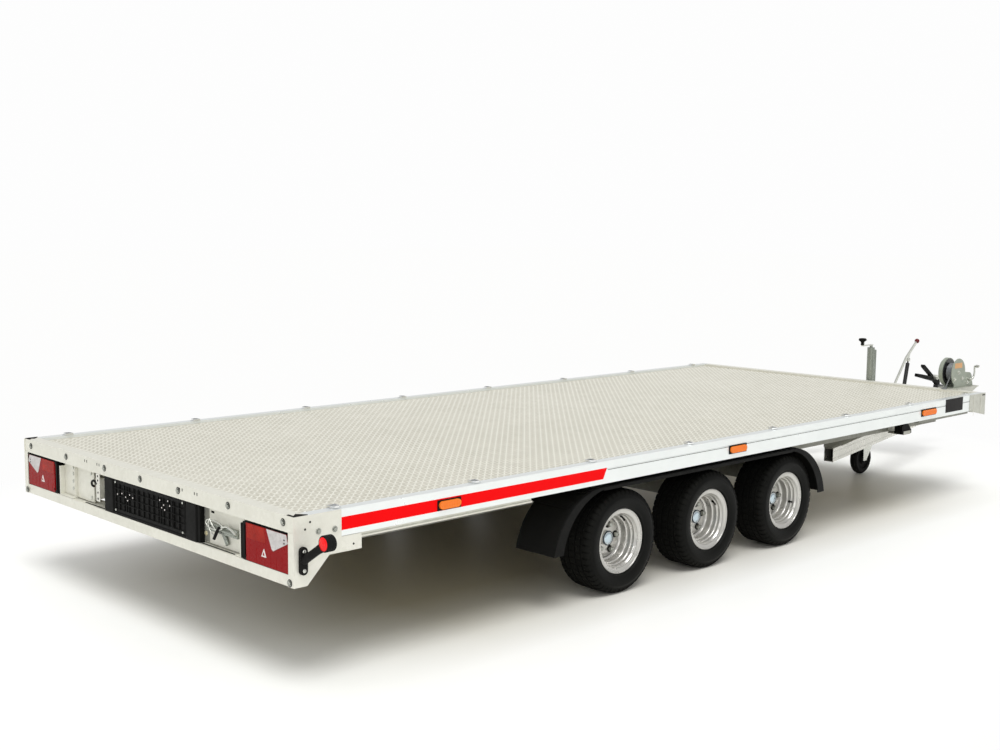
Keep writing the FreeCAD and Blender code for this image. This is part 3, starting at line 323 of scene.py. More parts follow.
# Finishes by kind of relief: name, base, worn, rough (low, high), metallic, grain, bump, grime, dirt
finishes = {
    "brushed": [
        # The deck plate is a darker and the studs a lighter copy of one aluminium: painted shade on the
        # plate between the studs, painted light on the studs' tops
        ("chequer", (0.48, 0.462, 0.375), (0.74, 0.715, 0.62), (0.36, 0.54), 0.3, 11.0, 0.1, 1.4, 0.2),
        ("stud", (0.76, 0.755, 0.66), (0.99, 0.975, 0.9), (0.28, 0.42), 0.3, 16.0, 0.08, 1.6, 0.12),
        ("brightGalvanised", (0.62, 0.61, 0.55), (0.84, 0.83, 0.77), (0.22, 0.36), 0.65, 7.0, 0.02, 3.0,
         0.45),
        ("boltSteel", (0.3, 0.31, 0.28), (0.62, 0.63, 0.59), (0.16, 0.3), 1.0, 160.0, 0.06, 9.0, 0.3),
        ("zinc", (0.6, 0.61, 0.56), (0.84, 0.84, 0.79), (0.22, 0.38), 0.85, 160.0, 0.08, 9.0, 0.22),
        ("chrome", (0.78, 0.79, 0.79), (0.9, 0.91, 0.92), (0.08, 0.2), 1.0, 60.0, 0.04, 12.0, 0.12),
        ("winchSteel", (0.3, 0.33, 0.27), (0.42, 0.45, 0.39), (0.36, 0.5), 0.35, 120.0, 0.1, 9.0, 0.28),
        ("clearLens", (0.34, 0.31, 0.3), (0.8, 0.78, 0.77), (0.14, 0.26), 0.0, 70.0, 0.25, 20.0, 0.4),
        ("amberLens", (0.8, 0.17, 0.01), (0.95, 0.28, 0.03), (0.16, 0.3), 0.0, 150.0, 0.2, 20.0, 0.12),
        ("rope", (0.22, 0.23, 0.24), (0.5, 0.52, 0.54), (0.34, 0.5), 0.5, 350.0, 0.5, 30.0, 0.4),
        ("brassZinc", (0.72, 0.66, 0.44), (0.86, 0.82, 0.62), (0.26, 0.42), 0.6, 200.0, 0.08, 20.0, 0.2),
        ("capBlue", (0.5, 0.6, 0.66), (0.78, 0.86, 0.92), (0.12, 0.24), 0.9, 90.0, 0.04, 20.0, 0.12),
    ],
    "spangle": [
        ("frameSteel", (0.7, 0.69, 0.61), (0.82, 0.81, 0.74), (0.36, 0.55), 0.3, 55.0, 0.08, 2.5, 0.14),
        ("galvanised", (0.5, 0.5, 0.44), (0.7, 0.7, 0.64), (0.36, 0.56), 0.5, 70.0, 0.14, 4.0, 0.28),
        # A darkened copy of the galvanised steel, painted shade for the members under the deck and other
        # parts in shadow
        ("underSteelShaded", (0.24, 0.24, 0.205), (0.38, 0.38, 0.34), (0.42, 0.6), 0.35, 70.0, 0.12, 4.0, 0.35),
    ],
    "lines": [
        ("rail", (0.8, 0.83, 0.82), (0.93, 0.95, 0.94), (0.26, 0.4), 0.55, 3.0, 0.12, 2.0, 0.1),
    ],
    "pebble": [
        ("jockeySteel", (0.25, 0.27, 0.235), (0.42, 0.44, 0.4), (0.22, 0.34), 0.6, 18.0, 0.02, 5.0, 0.2),
        # A darker copy of the cap's blue, painted shade round the hub cap's edge
        ("capEdgeShade", (0.02, 0.04, 0.06), (0.05, 0.09, 0.12), (0.14, 0.26), 0.6, 90.0, 0.03, 20.0, 0.1),
        ("blackPlastic", (0.005, 0.005, 0.0046), (0.011, 0.011, 0.01), (0.5, 0.7), 0.0, 900.0, 0.28, 5.0,
         0.2),
        ("blackRubber", (0.0052, 0.0052, 0.0048), (0.012, 0.012, 0.011), (0.55, 0.8), 0.0, 500.0, 0.22, 8.0,
         0.2),
        ("blackPaint", (0.007, 0.007, 0.008), (0.018, 0.018, 0.019), (0.2, 0.36), 0.0, 260.0, 0.1, 9.0, 0.2),
        ("shadowGap", (0.01, 0.009, 0.008), (0.02, 0.018, 0.016), (0.7, 0.9), 0.0, 300.0, 0.1, 9.0, 0.3),
        ("rimSilver", (0.56, 0.55, 0.52), (0.7, 0.69, 0.66), (0.24, 0.36), 0.8, 9.0, 0.01, 3.0, 0.1),
        ("redLens", (0.22, 0.0012, 0.0022), (0.38, 0.004, 0.006), (0.22, 0.34), 0.0, 60.0, 0.05, 12.0, 0.15),
        ("redDeep", (0.2, 0.004, 0.003), (0.56, 0.03, 0.012), (0.22, 0.34), 0.0, 45.0, 0.1, 25.0, 0.6),
        ("redGlow", (0.8, 0.006, 0.008), (1.0, 0.02, 0.02), (0.14, 0.26), 0.0, 90.0, 0.05, 12.0, 0.05),
        ("whiteReflector", (0.66, 0.6, 0.58), (0.86, 0.82, 0.8), (0.15, 0.3), 0.0, 700.0, 0.3, 20.0, 0.1),
        ("stripeRed", (0.8, 0.0012, 0.0025), (0.86, 0.003, 0.005), (0.4, 0.52), 0.0, 400.0, 0.04, 3.0, 0.06),
        ("signBlack", (0.01, 0.009, 0.009), (0.02, 0.018, 0.018), (0.32, 0.46), 0.0, 300.0, 0.05, 9.0, 0.1),
        ("knobRed", (0.11, 0.005, 0.006), (0.18, 0.01, 0.01), (0.2, 0.35), 0.0, 300.0, 0.05, 20.0, 0.2),
        ("labelOrange", (0.6, 0.3, 0.11), (0.72, 0.44, 0.22), (0.3, 0.45), 0.0, 300.0, 0.04, 12.0, 0.2),
    ],
}
# Gloss and mottling where they differ from the usual
gloss = {
    "chequer": dict(shade=0.9),
    "stud": dict(shade=0.9),
    "brightGalvanised": dict(shade=0.9),
    "blackPlastic": dict(specular=0.1),
    "blackRubber": dict(specular=0.14),
    "blackPaint": dict(specular=0.4, coat=0.2),
    "shadowGap": dict(specular=0.08),
    "rimSilver": dict(coat=0.1),
    "redLens": dict(specular=0.08),
    "redDeep": dict(specular=0.08, shade=0.8),
    "redGlow": dict(specular=0.2, coat=0.1),
    "clearLens": dict(specular=0.3, coat=0.1, shade=0.9),
    "amberLens": dict(specular=0.25, coat=0.15),
    "whiteReflector": dict(coat=0.4),
    "stripeRed": dict(specular=0.05),
    "signBlack": dict(specular=0.08),
    "knobRed": dict(specular=0.3, coat=0.1),
}
mats = {name: surface(name, relief, *row, **gloss.get(name, {})) for relief, rows in finishes.items()
        for name, *row in rows}
print("materials", len(mats))


# Tyre rubber: patchy dust on a matt tread and a slightly glossier sidewall with fine rings
def tyreMaterial():
    m = emptyMaterial("tyreRubber")
    t = m.node_tree
    part = newNode(t, "ShaderNodeAttribute", {"attribute_name": "zone"}).outputs["Fac"]
    radius = newNode(t, "ShaderNodeAttribute", {"attribute_name": "ringAt"}).outputs["Fac"]
    mask, fine = useGroup(t, "grime", 9.0)
    dust = times(t, mask, 0.5)
    side = blend(t, dust, (0.0026, 0.0028, 0.0023), (0.0075, 0.0075, 0.0063))
    tread = blend(t, dust, (0.0034, 0.0036, 0.0029), (0.0115, 0.0112, 0.0095))
    colour = blend(t, part, side, tread)
    rings = newNode(t, "ShaderNodeMath", {"operation": "SINE"}, i0=times(t, radius, 1900.0)).outputs[0]
    height = plus(t, times(t, rings, 0.25), fine)
    mixed = plus(t, part, times(t, fine, 0.3))
    rough = spread(t, mixed, 0.0, 1.3, 0.46, 0.8)
    finish(t, colour, rough, height, bump=0.4, specular=0.11, depth=0.0007)
    return m


mats["tyre"] = tyreMaterial()

# Looks of the CAD nodes; the ones not named here are galvanised
nodesByLook = {
    # Members under the deck take the darkened steel, painted shade
    "underSteelShaded": "chassisMembers crossMembers axleTubes swingArms axleBrackets",
    "chequer": "deckPlate",
    "rail": "railLeft railRight",
    "frameSteel": "rampLeft rampRight rearBeam rearSill rearCorners frontBeam",
    "blackPlastic": "plateCarrier mudguards couplingHandle wheelChock rearLamps mudguardStays",
    "blackPaint": "couplingHead gasStrut winchDrum",
    "blackRubber": "bellows outlineLamps jockeyWheel",
    "amberLens": "sideMarkers",
    "winchSteel": "winchFrame winchCrank",
    "rope": "winchRope",
    "brightGalvanised": "drawbarArms",
    "zinc": "handbrakeLever jockeyCrank jockeyInner jockeyFork",
    "jockeySteel": "jockeyLeg rampLatch",
    "chrome": "lashingRings",
}
nodeLooks = {node: look for look, row in nodesByLook.items() for node in row.split()}
for name, obj in nodes.items():
    if name.startswith("rim"):
        look = "rimSilver"
    elif name.startswith("tyre"):
        look = "tyre"
    else:
        look = nodeLooks.get(name, "galvanised")
    for slot in obj.material_slots:
        slot.material = mats[look]
print("nodes dressed", len(nodes))

# Chequer deck
deck = dict(x0=-3.285, x1=1.686, y=1.018, cell=0.0265, length=0.031, width=0.0092, rise=0.0016, z=0.607)


def chequerStuds():
    # Studs stand on a grid turned 45 degrees; each is a low lens, long along one grid way or the other
    c, r2 = deck["cell"], math.sqrt(0.5)
    n = int((deck["x1"] - deck["x0"]) / c) + 60
    i, j = [g.ravel() for g in np.meshgrid(np.arange(-n, n), np.arange(-n, n), indexing="ij")]
    x = (i + j) * c * r2 + (deck["x0"] + deck["x1"]) / 2
    y = (i - j) * c * r2
    edge = deck["length"] / 2 * r2 + 0.001
    keep = (x > deck["x0"] + edge) & (x < deck["x1"] - edge) & (abs(y) < deck["y"] - edge)
    x, y, turn = x[keep], y[keep], ((i + j) % 2)[keep]
    ang = np.where(turn == 0, math.pi / 4, -math.pi / 4)
    h, w, t = deck["length"] / 2, deck["width"] / 2, deck["rise"]
    local = np.array([(-h, 0, 0), (0, w, 0), (h, 0, 0), (0, -w, 0), (-h * 0.45, 0, t), (h * 0.45, 0, t)])
    ca, sa = np.cos(ang)[:, None], np.sin(ang)[:, None]
    px = x[:, None] + local[:, 0] * ca - local[:, 1] * sa
    py = y[:, None] + local[:, 0] * sa + local[:, 1] * ca
    pz = np.broadcast_to(local[:, 2] + deck["z"], px.shape)
    pts = np.stack([px, py, pz], axis=-1).reshape(-1, 3)
    tri = np.array([(0, 4, 1), (4, 5, 1), (5, 2, 1), (0, 3, 4), (4, 3, 5), (5, 3, 2)])
    faces = (np.arange(len(x))[:, None, None] * 6 + tri[None]).reshape(-1, 3)
    return pts, faces.tolist()


# Studs in the lighter copy of the deck's aluminium, painted light on their tops
makeObject("deckStuds", chequerStuds(), "stud", smooth=60)
print("deck")

# Tyres
tyre = dict(pitches=48, x=(-1.583, -0.947, -0.311), y=0.937, z=0.234, slot=0.0048, groove=0.0062,
            sipe=0.0032, skew=0.55)
half = [
    # y, r, zone: c centre, g groove, s shoulder, w side wall
    (0.0000, 0.2338, "c"), (0.0130, 0.2338, "c"), (0.0150, 0.2338, "w"), (0.0158, 0.2338, "g"),
    (0.0222, 0.2337, "g"), (0.0230, 0.2337, "w"), (0.0260, 0.2337, "c"), (0.0440, 0.2335, "c"),
    (0.0468, 0.2335, "w"), (0.0476, 0.2335, "g"), (0.0544, 0.2333, "g"), (0.0552, 0.2332, "w"),
    (0.0600, 0.2330, "s"), (0.0680, 0.2325, "s"), (0.0750, 0.2314, "s"), (0.0810, 0.2290, "s"),
    (0.0855, 0.2245, "s"), (0.0885, 0.2180, "s"), (0.0905, 0.2120, "w"), (0.0935, 0.2050, "w"),
    (0.0952, 0.2010, "w"), (0.0968, 0.1995, "w"), (0.0978, 0.1920, "w"), (0.0975, 0.1820, "w"),
    (0.0956, 0.1700, "w"), (0.0925, 0.1600, "w"), (0.0893, 0.1535, "w"), (0.0897, 0.1512, "w"),
    (0.0870, 0.1488, "w"), (0.0810, 0.1466, "w"), (0.0755, 0.1452, "w"), (0.0725, 0.1400, "w"),
    (0.0710, 0.1300, "w"),
]


def tyreShape(cx, cy):
    # Point = centre + r (cos a, 0, sin a) + y; r drops in ring grooves, shoulder slots and fine cuts
    full = [(-y, r, kind) for y, r, kind in half[:0:-1]] + half
    y, r = np.array([row[:2] for row in full]).T
    ring, shoulder, centre = [np.array([row[2] == kind for row in full], float) for kind in "gsc"]
    part = np.array([0.0, 0.03, 0.24, 0.27, 0.52, 0.55, 0.63, 0.66])
    slot = np.array([0, 1, 1, 0, 0, 0, 0, 0])
    cut = np.array([0, 0, 0, 0, 0, 1, 1, 0])
    k = tyre["pitches"]
    a = ((np.arange(k)[:, None] + part[None, :]) * 2 * math.pi / k).ravel()
    slot, cut = np.tile(slot, k), np.tile(cut, k)
    turn = a[None, :] + tyre["skew"] * np.abs(y)[:, None]
    drop = ring[:, None] * tyre["groove"] + shoulder[:, None] * slot[None, :] * tyre["slot"]
    rr = r[:, None] - drop - centre[:, None] * cut[None, :] * tyre["sipe"]
    across = cy + np.broadcast_to(y[:, None], rr.shape)
    pts = np.stack([cx + rr * np.cos(turn), across, tyre["z"] + rr * np.sin(turn)], axis=-1)
    zone = np.clip((np.broadcast_to(r[:, None], rr.shape) - 0.205) / 0.008, 0, 1)
    return (pts.reshape(-1, 3), gridFaces(len(y), len(a), wrapCols=True)), zone.ravel(), rr.ravel()


wheelNames = ("Rear", "Middle", "Front")
for side, sign in bothSides:
    for which, cx in zip(wheelNames, tyre["x"]):
        shape, zone, ringAt = tyreShape(cx, sign * tyre["y"])
        obj = makeObject("treadTyre" + which + side, shape, "tyre", "wheel" + which + side, smooth=42)
        for title, values in (("zone", zone), ("ringAt", ringAt)):
            layer = obj.data.attributes.new(title, "FLOAT", "POINT")
            layer.data.foreach_set("value", values)
        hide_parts("tyre" + which + side)
print("tyres")


# Fasteners, drawn standing on the origin and pointing along +Z
def hexBolt(r=0.0085, h=0.0065, washer=0.012, stud=0.0):
    head = [(0, 0.0022), (r * 0.92, 0.0022), (r, 0.003), (r, h - 0.0012), (r * 0.9, h), (0, h)]
    plate = [(0, 0), (washer, 0), (washer, 0.0016), (washer - 0.0006, 0.0022), (0, 0.0022)]
    parts = [turned(head, 6, axis="z"), turned(plate, 20, axis="z")]
    if stud:
        top = h + stud
        end = [(0, h), (r * 0.5, h), (r * 0.5, top - 0.001), (r * 0.4, top), (0, top)]
        parts.append(turned(end, 12, axis="z"))
    return joined(parts)


def panScrew(r=0.005, h=0.0028):
    dome = [(0, 0), (1, 0), (0.97, 0.45), (0.7, 0.9), (0.35, 1), (0.3, 0.55), (0, 0.5)]
    return turned([(r * across, h * up) for across, up in dome], 16, axis="z")


def holeRing(r=0.0035):
    return turned([(0, 0.0), (r * 1.15, 0.0), (r, 0.0006), (r * 0.8, 0.0003), (0, 0.0003)], 20, axis="z")


def disc(r, h, edge=0.001, count=28):
    return turned([(0, 0), (r, 0), (r, h - edge), (r - edge, h), (0, h)], count, axis="z")


def barrel(r, half, edge, chamfer):
    top = [(r, half - chamfer), (r - edge, half), (0, half)]
    return [(r, -h) for r, h in top[::-1]] + top


def torus(major, minor, along, count=64, steps=12):
    t = np.linspace(0, 2 * math.pi, steps + 1)
    return turned(np.stack([major + minor * np.cos(t), along + minor * np.sin(t)], axis=1), count)


def placed(shape, direction, places):
    return joined([aimed(shape, direction, p) for p in places])


# Wheels: lip and step beads, lug bolts on dark rings painted as the shade in their seats, hub cap and valve
valveAngles = dict(Rear=62, Middle=38, Front=-15)
stepProfile = [
    (0.1228, 0.0700), (0.1215, 0.0690), (0.1205, 0.0640), (0.1180, 0.0610), (0.1165, 0.0600),
    (0.1158, 0.0480), (0.1130, 0.0445), (0.1105, 0.0435), (0.1096, 0.0260), (0.1070, 0.0222),
    (0.1040, 0.0210), (0.1032, -0.0050), (0.0985, -0.0105), (0.0920, -0.0126), (0.1155, -0.0128),
    (0.1155, 0.0405), (0.1226, 0.0415), (0.1228, 0.0700),
]
seatProfile = [(0, 0), (0.0165, 0), (0.0158, 0.0016), (0.013, 0.002), (0, 0.002)]
lugProfile = [(0, 0.001), (0.0122, 0.001), (0.0108, 0.005), (0.0108, 0.017), (0.009, 0.0192), (0, 0.0192)]
wheel = dict(bolts=5, firstBolt=0.1, circle=0.06, face=0.9304, capR=0.03, capEnd=0.0125,
             capRing=(0.03, 0.0034, 0.006))
valve = dict(r=0.112, y=0.972, inward=0.55, out=0.83, at=(0.0, 0.006, 0.008, 0.022, 0.023, 0.032),
             radii=(0.0072, 0.0068, 0.0042, 0.0036, 0.0046, 0.0044))
beads = ((0.1425, 0.0038, 0.0785), (0.0835, 0.0022, -0.011))
capEdge = ((0, 1.0), (0.55, 0.94), (0.85, 0.8), (0.97, 0.45), (1.0, -0.64), (0, -0.64))
for side, sign in bothSides:
    for which, cx in zip(wheelNames, tyre["x"]):
        body = "wheel" + which + side
        seats, heads = [], []
        for k in range(wheel["bolts"]):
            a = 2 * math.pi * (k + wheel["firstBolt"]) / wheel["bolts"]
            r = wheel["circle"]
            spot = (cx + r * math.cos(a), sign * wheel["face"], tyre["z"] + r * math.sin(a))
            seats.append(aimed(turned(seatProfile, 20, axis="z"), (0, sign, 0), spot))
            heads.append(aimed(turned(lugProfile, 6, axis="z"), (0, sign, 0), spot))
        # Dark rings painted as the shade in the lug bolts' seats
        makeObject("boltSeatShades" + which + side, joined(seats), "shadowGap", body)
        makeObject("lugBolts" + which + side, joined(heads), "boltSteel", body, smooth=30)
        rings = [torus(r, t, along) for r, t, along in beads] + [turned(stepProfile, 72)]
        cap = turned([(wheel["capR"] * r, wheel["capEnd"] * h) for r, h in capEdge], 40)
        dressing = (
            ("rimBeads", joined(rings), "rimSilver"), ("hubCap", cap, "capBlue"),
            # The ring round each hub cap takes the darker blue, painted shade at the cap's edge
            ("capRing", torus(*wheel["capRing"], 40), "capEdgeShade"),
        )
        for title, shape, look in dressing:
            pts = shape[0] * np.array([1, sign, 1]) + np.array([cx, sign * tyre["y"], tyre["z"]])
            makeObject(title + which + side, (pts, shape[1]), look, body, smooth=50)
        a = math.radians(valveAngles[which])
        c, s, r, inward = math.cos(a), math.sin(a), valve["r"], valve["inward"]
        foot = np.array([cx + r * c, sign * valve["y"], tyre["z"] + r * s])
        way = np.array([-c * inward, sign * valve["out"], -s * inward])
        stem = tube(np.array([foot + way * t for t in valve["at"]]), valve["radii"], 12)
        makeObject("valve" + which + side, stem, "blackRubber", body, smooth=40)
print("wheels")

# Rear face: bolts on dark discs painted as the shade round them, pairs of small holes, black plugs in the
# rails' open ends
rear = dict(
    face=-3.3472, boltZ=0.592, boltY=(1.004, 0.65, 0.297, -0.005, -0.301, -0.654, -1.004),
    lowX=-3.3502, lowZ=0.386, lowY=1.046,
    holeZ=0.599, holeY=(0.455, 0.343, -0.332, -0.44), holeStep=0.019, holeHalf=(0.0024, 0.0055),
)
spots = [(rear["face"], y, rear["boltZ"]) for y in rear["boltY"]]
spots += [(rear["lowX"], s * rear["lowY"], rear["lowZ"]) for s in signs]
makeObject("rearBolts", placed(hexBolt(0.008, 0.0066, 0.0112), rearward, spots), "boltSteel", smooth=30)
# Dark discs painted as the shade round each bolt
makeObject("rearBoltShades", placed(disc(0.0138, 0.0012, 0.0004), rearward, spots), "shadowGap")
cuts = []
wide, tall = rear["holeHalf"]
for y in [y + k for y in rear["holeY"] for k in (0, rear["holeStep"])]:
    low = (rear["face"] - 0.0002, y - wide, rear["holeZ"] - tall)
    cuts.append(slab(low, (rear["face"] + 0.001, y + wide, rear["holeZ"] + tall)))
makeObject("rearHoles", joined(cuts), "shadowGap", smooth=0)
plug = dict(x=-3.347, y=1.066, z=0.6192, t=0.0022, outline=(
    (0, 0), (0.06, 0), (0.0312, -0.034), (0.01, -0.014), (0.01, -0.042), (0.001, -0.042),
))
corners = [(plug["x"] + x, plug["y"] + y) for x, y in plug["outline"]]
shape = extruded(corners, "z", plug["z"], plug["z"] + plug["t"])
makeObject("railPlugs", bothWays(shape), "shadowGap", bevel=0.0005)

# Rear lamps: red body, clear wedge, reflector and inner frame, as (y, z) outlines of the left lamp
lamp = dict(
    back=-3.3385, front=-3.349,
    body=((0.77, 0.4135), (1.0335, 0.4135), (1.0335, 0.5505), (0.77, 0.5505)),
    wedge=((0.902, 0.55), (1.022, 0.55), (1.0325, 0.52), (0.944, 0.478), (0.934, 0.484)),
    upper=((0.776, 0.496), (0.896, 0.496), (0.89, 0.55), (0.776, 0.55)),
    triangle=((0.862, 0.441), (0.908, 0.441), (0.887, 0.486)),
    ribs=(0.79, 0.835, 0.925, 0.96, 0.995), ribW=0.0018, ribZ=(0.418, 0.47),
    screws=((1.012, 0.53), (1.012, 0.518), (0.77, 0.43)),
)
face, back, w = lamp["front"], lamp["back"], lamp["ribW"]
body = extruded(lamp["body"], "x", face + 0.002, back)
z0, z1 = lamp["ribZ"]
strips = [[(y, z0), (y + w, z0), (y + w, z1), (y, z1)] for y in lamp["ribs"]]
steps = [extruded(strip, "x", face + 0.0014, back) for strip in strips]
makeObject("lampLenses", bothWays(joined([body] + steps)), "redLens", bevel=0.0014)
upper, wedge = extruded(lamp["upper"], "x", face + 0.0012, back), extruded(lamp["wedge"], "x", face, back)
makeObject("lampUpper", bothWays(upper), "redDeep", bevel=0.001)
makeObject("lampWedges", bothWays(wedge), "clearLens", bevel=0.001)
inner = np.array(lamp["triangle"])
hub = inner.mean(axis=0)
triangles = (
    ("lampTriangles", 0.66, 0.0004, "whiteReflector"), ("lampTriangleCores", 0.28, 0.001, "redLens"),
)
for title, share, lift, look in triangles:
    shape = extruded(hub + (inner - hub) * share, "x", face - lift, back)
    makeObject(title, bothWays(shape), look, bevel=0.0005)
sealing = ((face - 0.0003, 1.03, 0.536), (back, 1.0352, 0.5512))
makeObject("lampCorners", bothWays(slab(*sealing)), "blackPlastic", bevel=0.0008)
postTop = ((-3.3498, 1.0366, 0.5216), (-3.3474, 1.0668, 0.5612))
makeObject("postTops", bothWays(slab(*postTop)), "frameSteel", smooth=0)
spots = [(face + 0.0004, s * y, z) for s in signs for y, z in lamp["screws"]]
makeObject("lampScrews", placed(panScrew(0.0034, 0.0018), rearward, spots), "shadowGap")

# Inner frame of the lamp: wall beside it, dark gap and foot, each as (low, high) corners
gap = ((-3.341, 0.7275, 0.4115), (-3.3195, 0.769, 0.5405))
makeObject("lampGaps", bothWays(slab(*gap)), "shadowGap")
wall = ((-3.343, 0.7225, 0.4075), (-3.3035, 0.7275, 0.5405))
sole = ((-3.341, 0.7105, 0.4075), (-3.3035, 0.769, 0.4115))
frameBars = [slab(*wall), slab(*sole)]
makeObject("lampFrames", bothWays(joined(frameBars)), "frameSteel", bevel=0.0006)
print("rear lamps")

# Number plate carrier: screws, white discs painted as light seen through holes, grid and lamp covers; strap
# with holes, hook, and dark strips painted as shade on the sill beside it
tray = [Vector(v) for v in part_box("plateCarrier")]
carrier = dict(
    face=tray[0].x, screws=((0.205, 0.548), (0.205, 0.432), (-0.33, 0.548), (-0.33, 0.432)),
    holes=(
        (0.187, 0.5), (0.15, 0.508), (0.119, 0.498), (0.085, 0.512), (0.06, 0.504), (0.103, 0.486),
        (-0.158, 0.531), (-0.188, 0.516), (-0.22, 0.537), (-0.195, 0.498), (-0.234, 0.52), (-0.172, 0.503),
    ),
)
spots = [(carrier["face"], y, z) for y, z in carrier["screws"]]
makeObject("carrierScrews", placed(panScrew(0.0048, 0.0026), rearward, spots), "zinc")
spots = [(carrier["face"] - 0.0002, y, z) for y, z in carrier["holes"]]
# White discs painted as light seen through the carrier's holes
makeObject("carrierLightSpots", placed(disc(0.003, 0.0008, 0.0003, 14), rearward, spots), "whiteReflector")
grid = dict(y=(-0.34, 0.214), z=(0.434, 0.548), bars=(0.463, 0.492, 0.521), posts=15, wire=0.0022,
            depth=0.012)
x0, x1 = carrier["face"] + 0.0004, carrier["face"] + grid["depth"]
(y0, y1), (z0, z1) = grid["y"], grid["z"]
bars = [slab((x0, y0, z), (x1, y1, z + grid["wire"])) for z in grid["bars"]]
posts = np.linspace(y0, y1, grid["posts"])
bars += [slab((x0 + 0.0004, y, z0), (x1, y + grid["wire"], z1)) for y in posts]
makeObject("carrierGrid", joined(bars), "blackPlastic", bevel=0.0004)
cover = dict(x=(-3.3475, -3.3185), y=((0.2265, 0.3025), (-0.4295, -0.3535)), z=(0.413, 0.423, 0.548, 0.559))
shells = []
low, z0, z1, high = cover["z"]
for y0, y1 in cover["y"]:
    left = [(y1 - 0.006, low), (y1, z0), (y1, z1), (y1 - 0.012, high)]
    right = [(y0 + 0.012, high), (y0, z1), (y0, z0), (y0 + 0.006, low)]
    shells.append(extruded(right[3:] + left + right[:3], "x", *cover["x"]))
makeObject("plateLampCovers", joined(shells), "blackPlastic", bevel=0.0045, segments=3)
straps = dict(x=-3.3462, y0=0.345, y1=0.377, z0=0.44, z1=0.5595, holes=(0.452, 0.478, 0.53, 0.548))
strip = slab((straps["x"], straps["y0"], straps["z0"]), (straps["x"] + 0.003, straps["y1"], straps["z1"]))
makeObject("rearStrap", strip, "brightGalvanised", bevel=0.0008)
spots = [(straps["x"], (straps["y0"] + straps["y1"]) / 2, z) for z in straps["holes"]]
makeObject("strapHoles", placed(holeRing(0.0042), rearward, spots), "shadowGap")
hook = dict(wire=0.0048, path=(
    (-3.3447, 0.372, 0.514), (-3.3447, 0.388, 0.521), (-3.344, 0.402, 0.524), (-3.346, 0.414, 0.516),
    (-3.344, 0.416, 0.502), (-3.338, 0.408, 0.496),
))
makeObject("rearHook", tube(smoothPath(hook["path"], 5), hook["wire"], 10), "blackRubber")
slot = dict(x=(-3.338, -3.33), y=((-0.715, -0.45), (0.215, 0.5)), z=(0.4121, 0.4127))
slots = [slab((slot["x"][0], y0, slot["z"][0]), (slot["x"][1], y1, slot["z"][1])) for y0, y1 in slot["y"]]
# Dark strips painted as the shade under the ramps on the sill's top
makeObject("sillShadeLines", joined(slots), "shadowGap", smooth=0)

# Small steel and black pieces round the ramps, each as (low, high) corners
ramps = dict(
    leftRest=((-3.344, 0.6, 0.4128), (-3.32, 0.722, 0.4165)),
    rightRest=((-3.344, -0.722, 0.4128), (-3.32, -0.69, 0.4165)),
    rib=((-3.333, 0.601, 0.418), (-3.32, 0.6045, 0.55)),
    lip=((-3.3214, -0.482, 0.42), (-3.32, -0.4486, 0.55)),
    cheek=((-3.342, -0.4472, 0.4128), (-3.32, -0.429, 0.5592)),
    bolts=((0.64, 0.45), (0.64, 0.482), (0.64, 0.514), (0.64, 0.54), (0.47, 0.436), (0.47, 0.538)),
    boltX=-3.3202,
)
rests = joined([slab(*ramps["leftRest"]), slab(*ramps["rightRest"])])
makeObject("rampRests", rests, "frameSteel", bevel=0.0006)
makeObject("rampRib", slab(*ramps["rib"]), "frameSteel", "rampLeft", bevel=0.0006)
makeObject("rampLip", slab(*ramps["lip"]), "underSteelShaded", "rampRight", bevel=0.0004)
skirt = dict(y=(-0.43, 0.3), outline=(
    (-3.3462, 0.4128), (-3.336, 0.4128), (-3.33, 0.42), (-3.33, 0.432), (-3.334, 0.432), (-3.3462, 0.419),
))
makeObject("carrierSkirt", extruded(skirt["outline"], "y", *skirt["y"]), "blackPlastic", bevel=0.001)
makeObject("carrierCheek", slab(*ramps["cheek"]), "blackPlastic", bevel=0.001)
pins = [(ramps["boltX"], y, z) for y, z in ramps["bolts"]]
shape = placed(hexBolt(0.0055, 0.0042, 0.008), rearward, pins)
makeObject("rampBoltsLeft", shape, "zinc", "rampLeft", smooth=30)
latch = dict(
    x=-3.342, wire=0.0026, bolt=(-3.3205, -0.458, 0.45),
    dark=((-0.47, 0.54), (-0.506, 0.539)), darkX=(-3.3208, -3.3198), darkHalf=(0.01, 0.004),
    arm=((0, -0.6, 0.5), (-0.004, -0.65, 0.51), (-0.002, -0.7, 0.49)), armR=0.0042,
    grip=((0, -0.585, 0.497), (-0.002, -0.572, 0.48), (-0.003, -0.552, 0.449)),
    gripR=(0.005, 0.0066, 0.006),
    links=(
        ((-0.49, 0.5), (-0.505, 0.514), (-0.56, 0.516), (-0.6, 0.506), (-0.598, 0.492), (-0.556, 0.484),
         (-0.508, 0.488), (-0.49, 0.5)),
        ((-0.52, 0.52), (-0.54, 0.498), (-0.57, 0.476), (-0.556, 0.462), (-0.53, 0.47), (-0.512, 0.496),
         (-0.52, 0.52)),
    ),
)
wires = []
for k, link in enumerate(latch["links"]):
    path = smoothPath([(latch["x"] - 0.002 * k, y, z) for y, z in link], 6)
    wires.append(tube(path, latch["wire"], 8))
arm, grip = [[(latch["x"] + dx, y, z) for dx, y, z in latch[k]] for k in ("arm", "grip")]
wires.append(tube(smoothPath(arm, 5), latch["armR"], 8))
makeObject("latchLinks", joined(wires), "zinc", "rampRight", smooth=50)
makeObject("latchGrip", tube(grip, latch["gripR"], 12), "blackRubber", "rampRight")
shape = aimed(hexBolt(0.007, 0.005, 0.01), rearward, latch["bolt"])
makeObject("latchBolt", shape, "brassZinc", "rampRight", smooth=30)
(x0, x1), (wide, tall) = latch["darkX"], latch["darkHalf"]
cuts = [slab((x0, y - wide, z - tall), (x1, y + wide, z + tall)) for y, z in latch["dark"]]
makeObject("rampSlots", joined(cuts), "shadowGap", "rampRight", smooth=0)
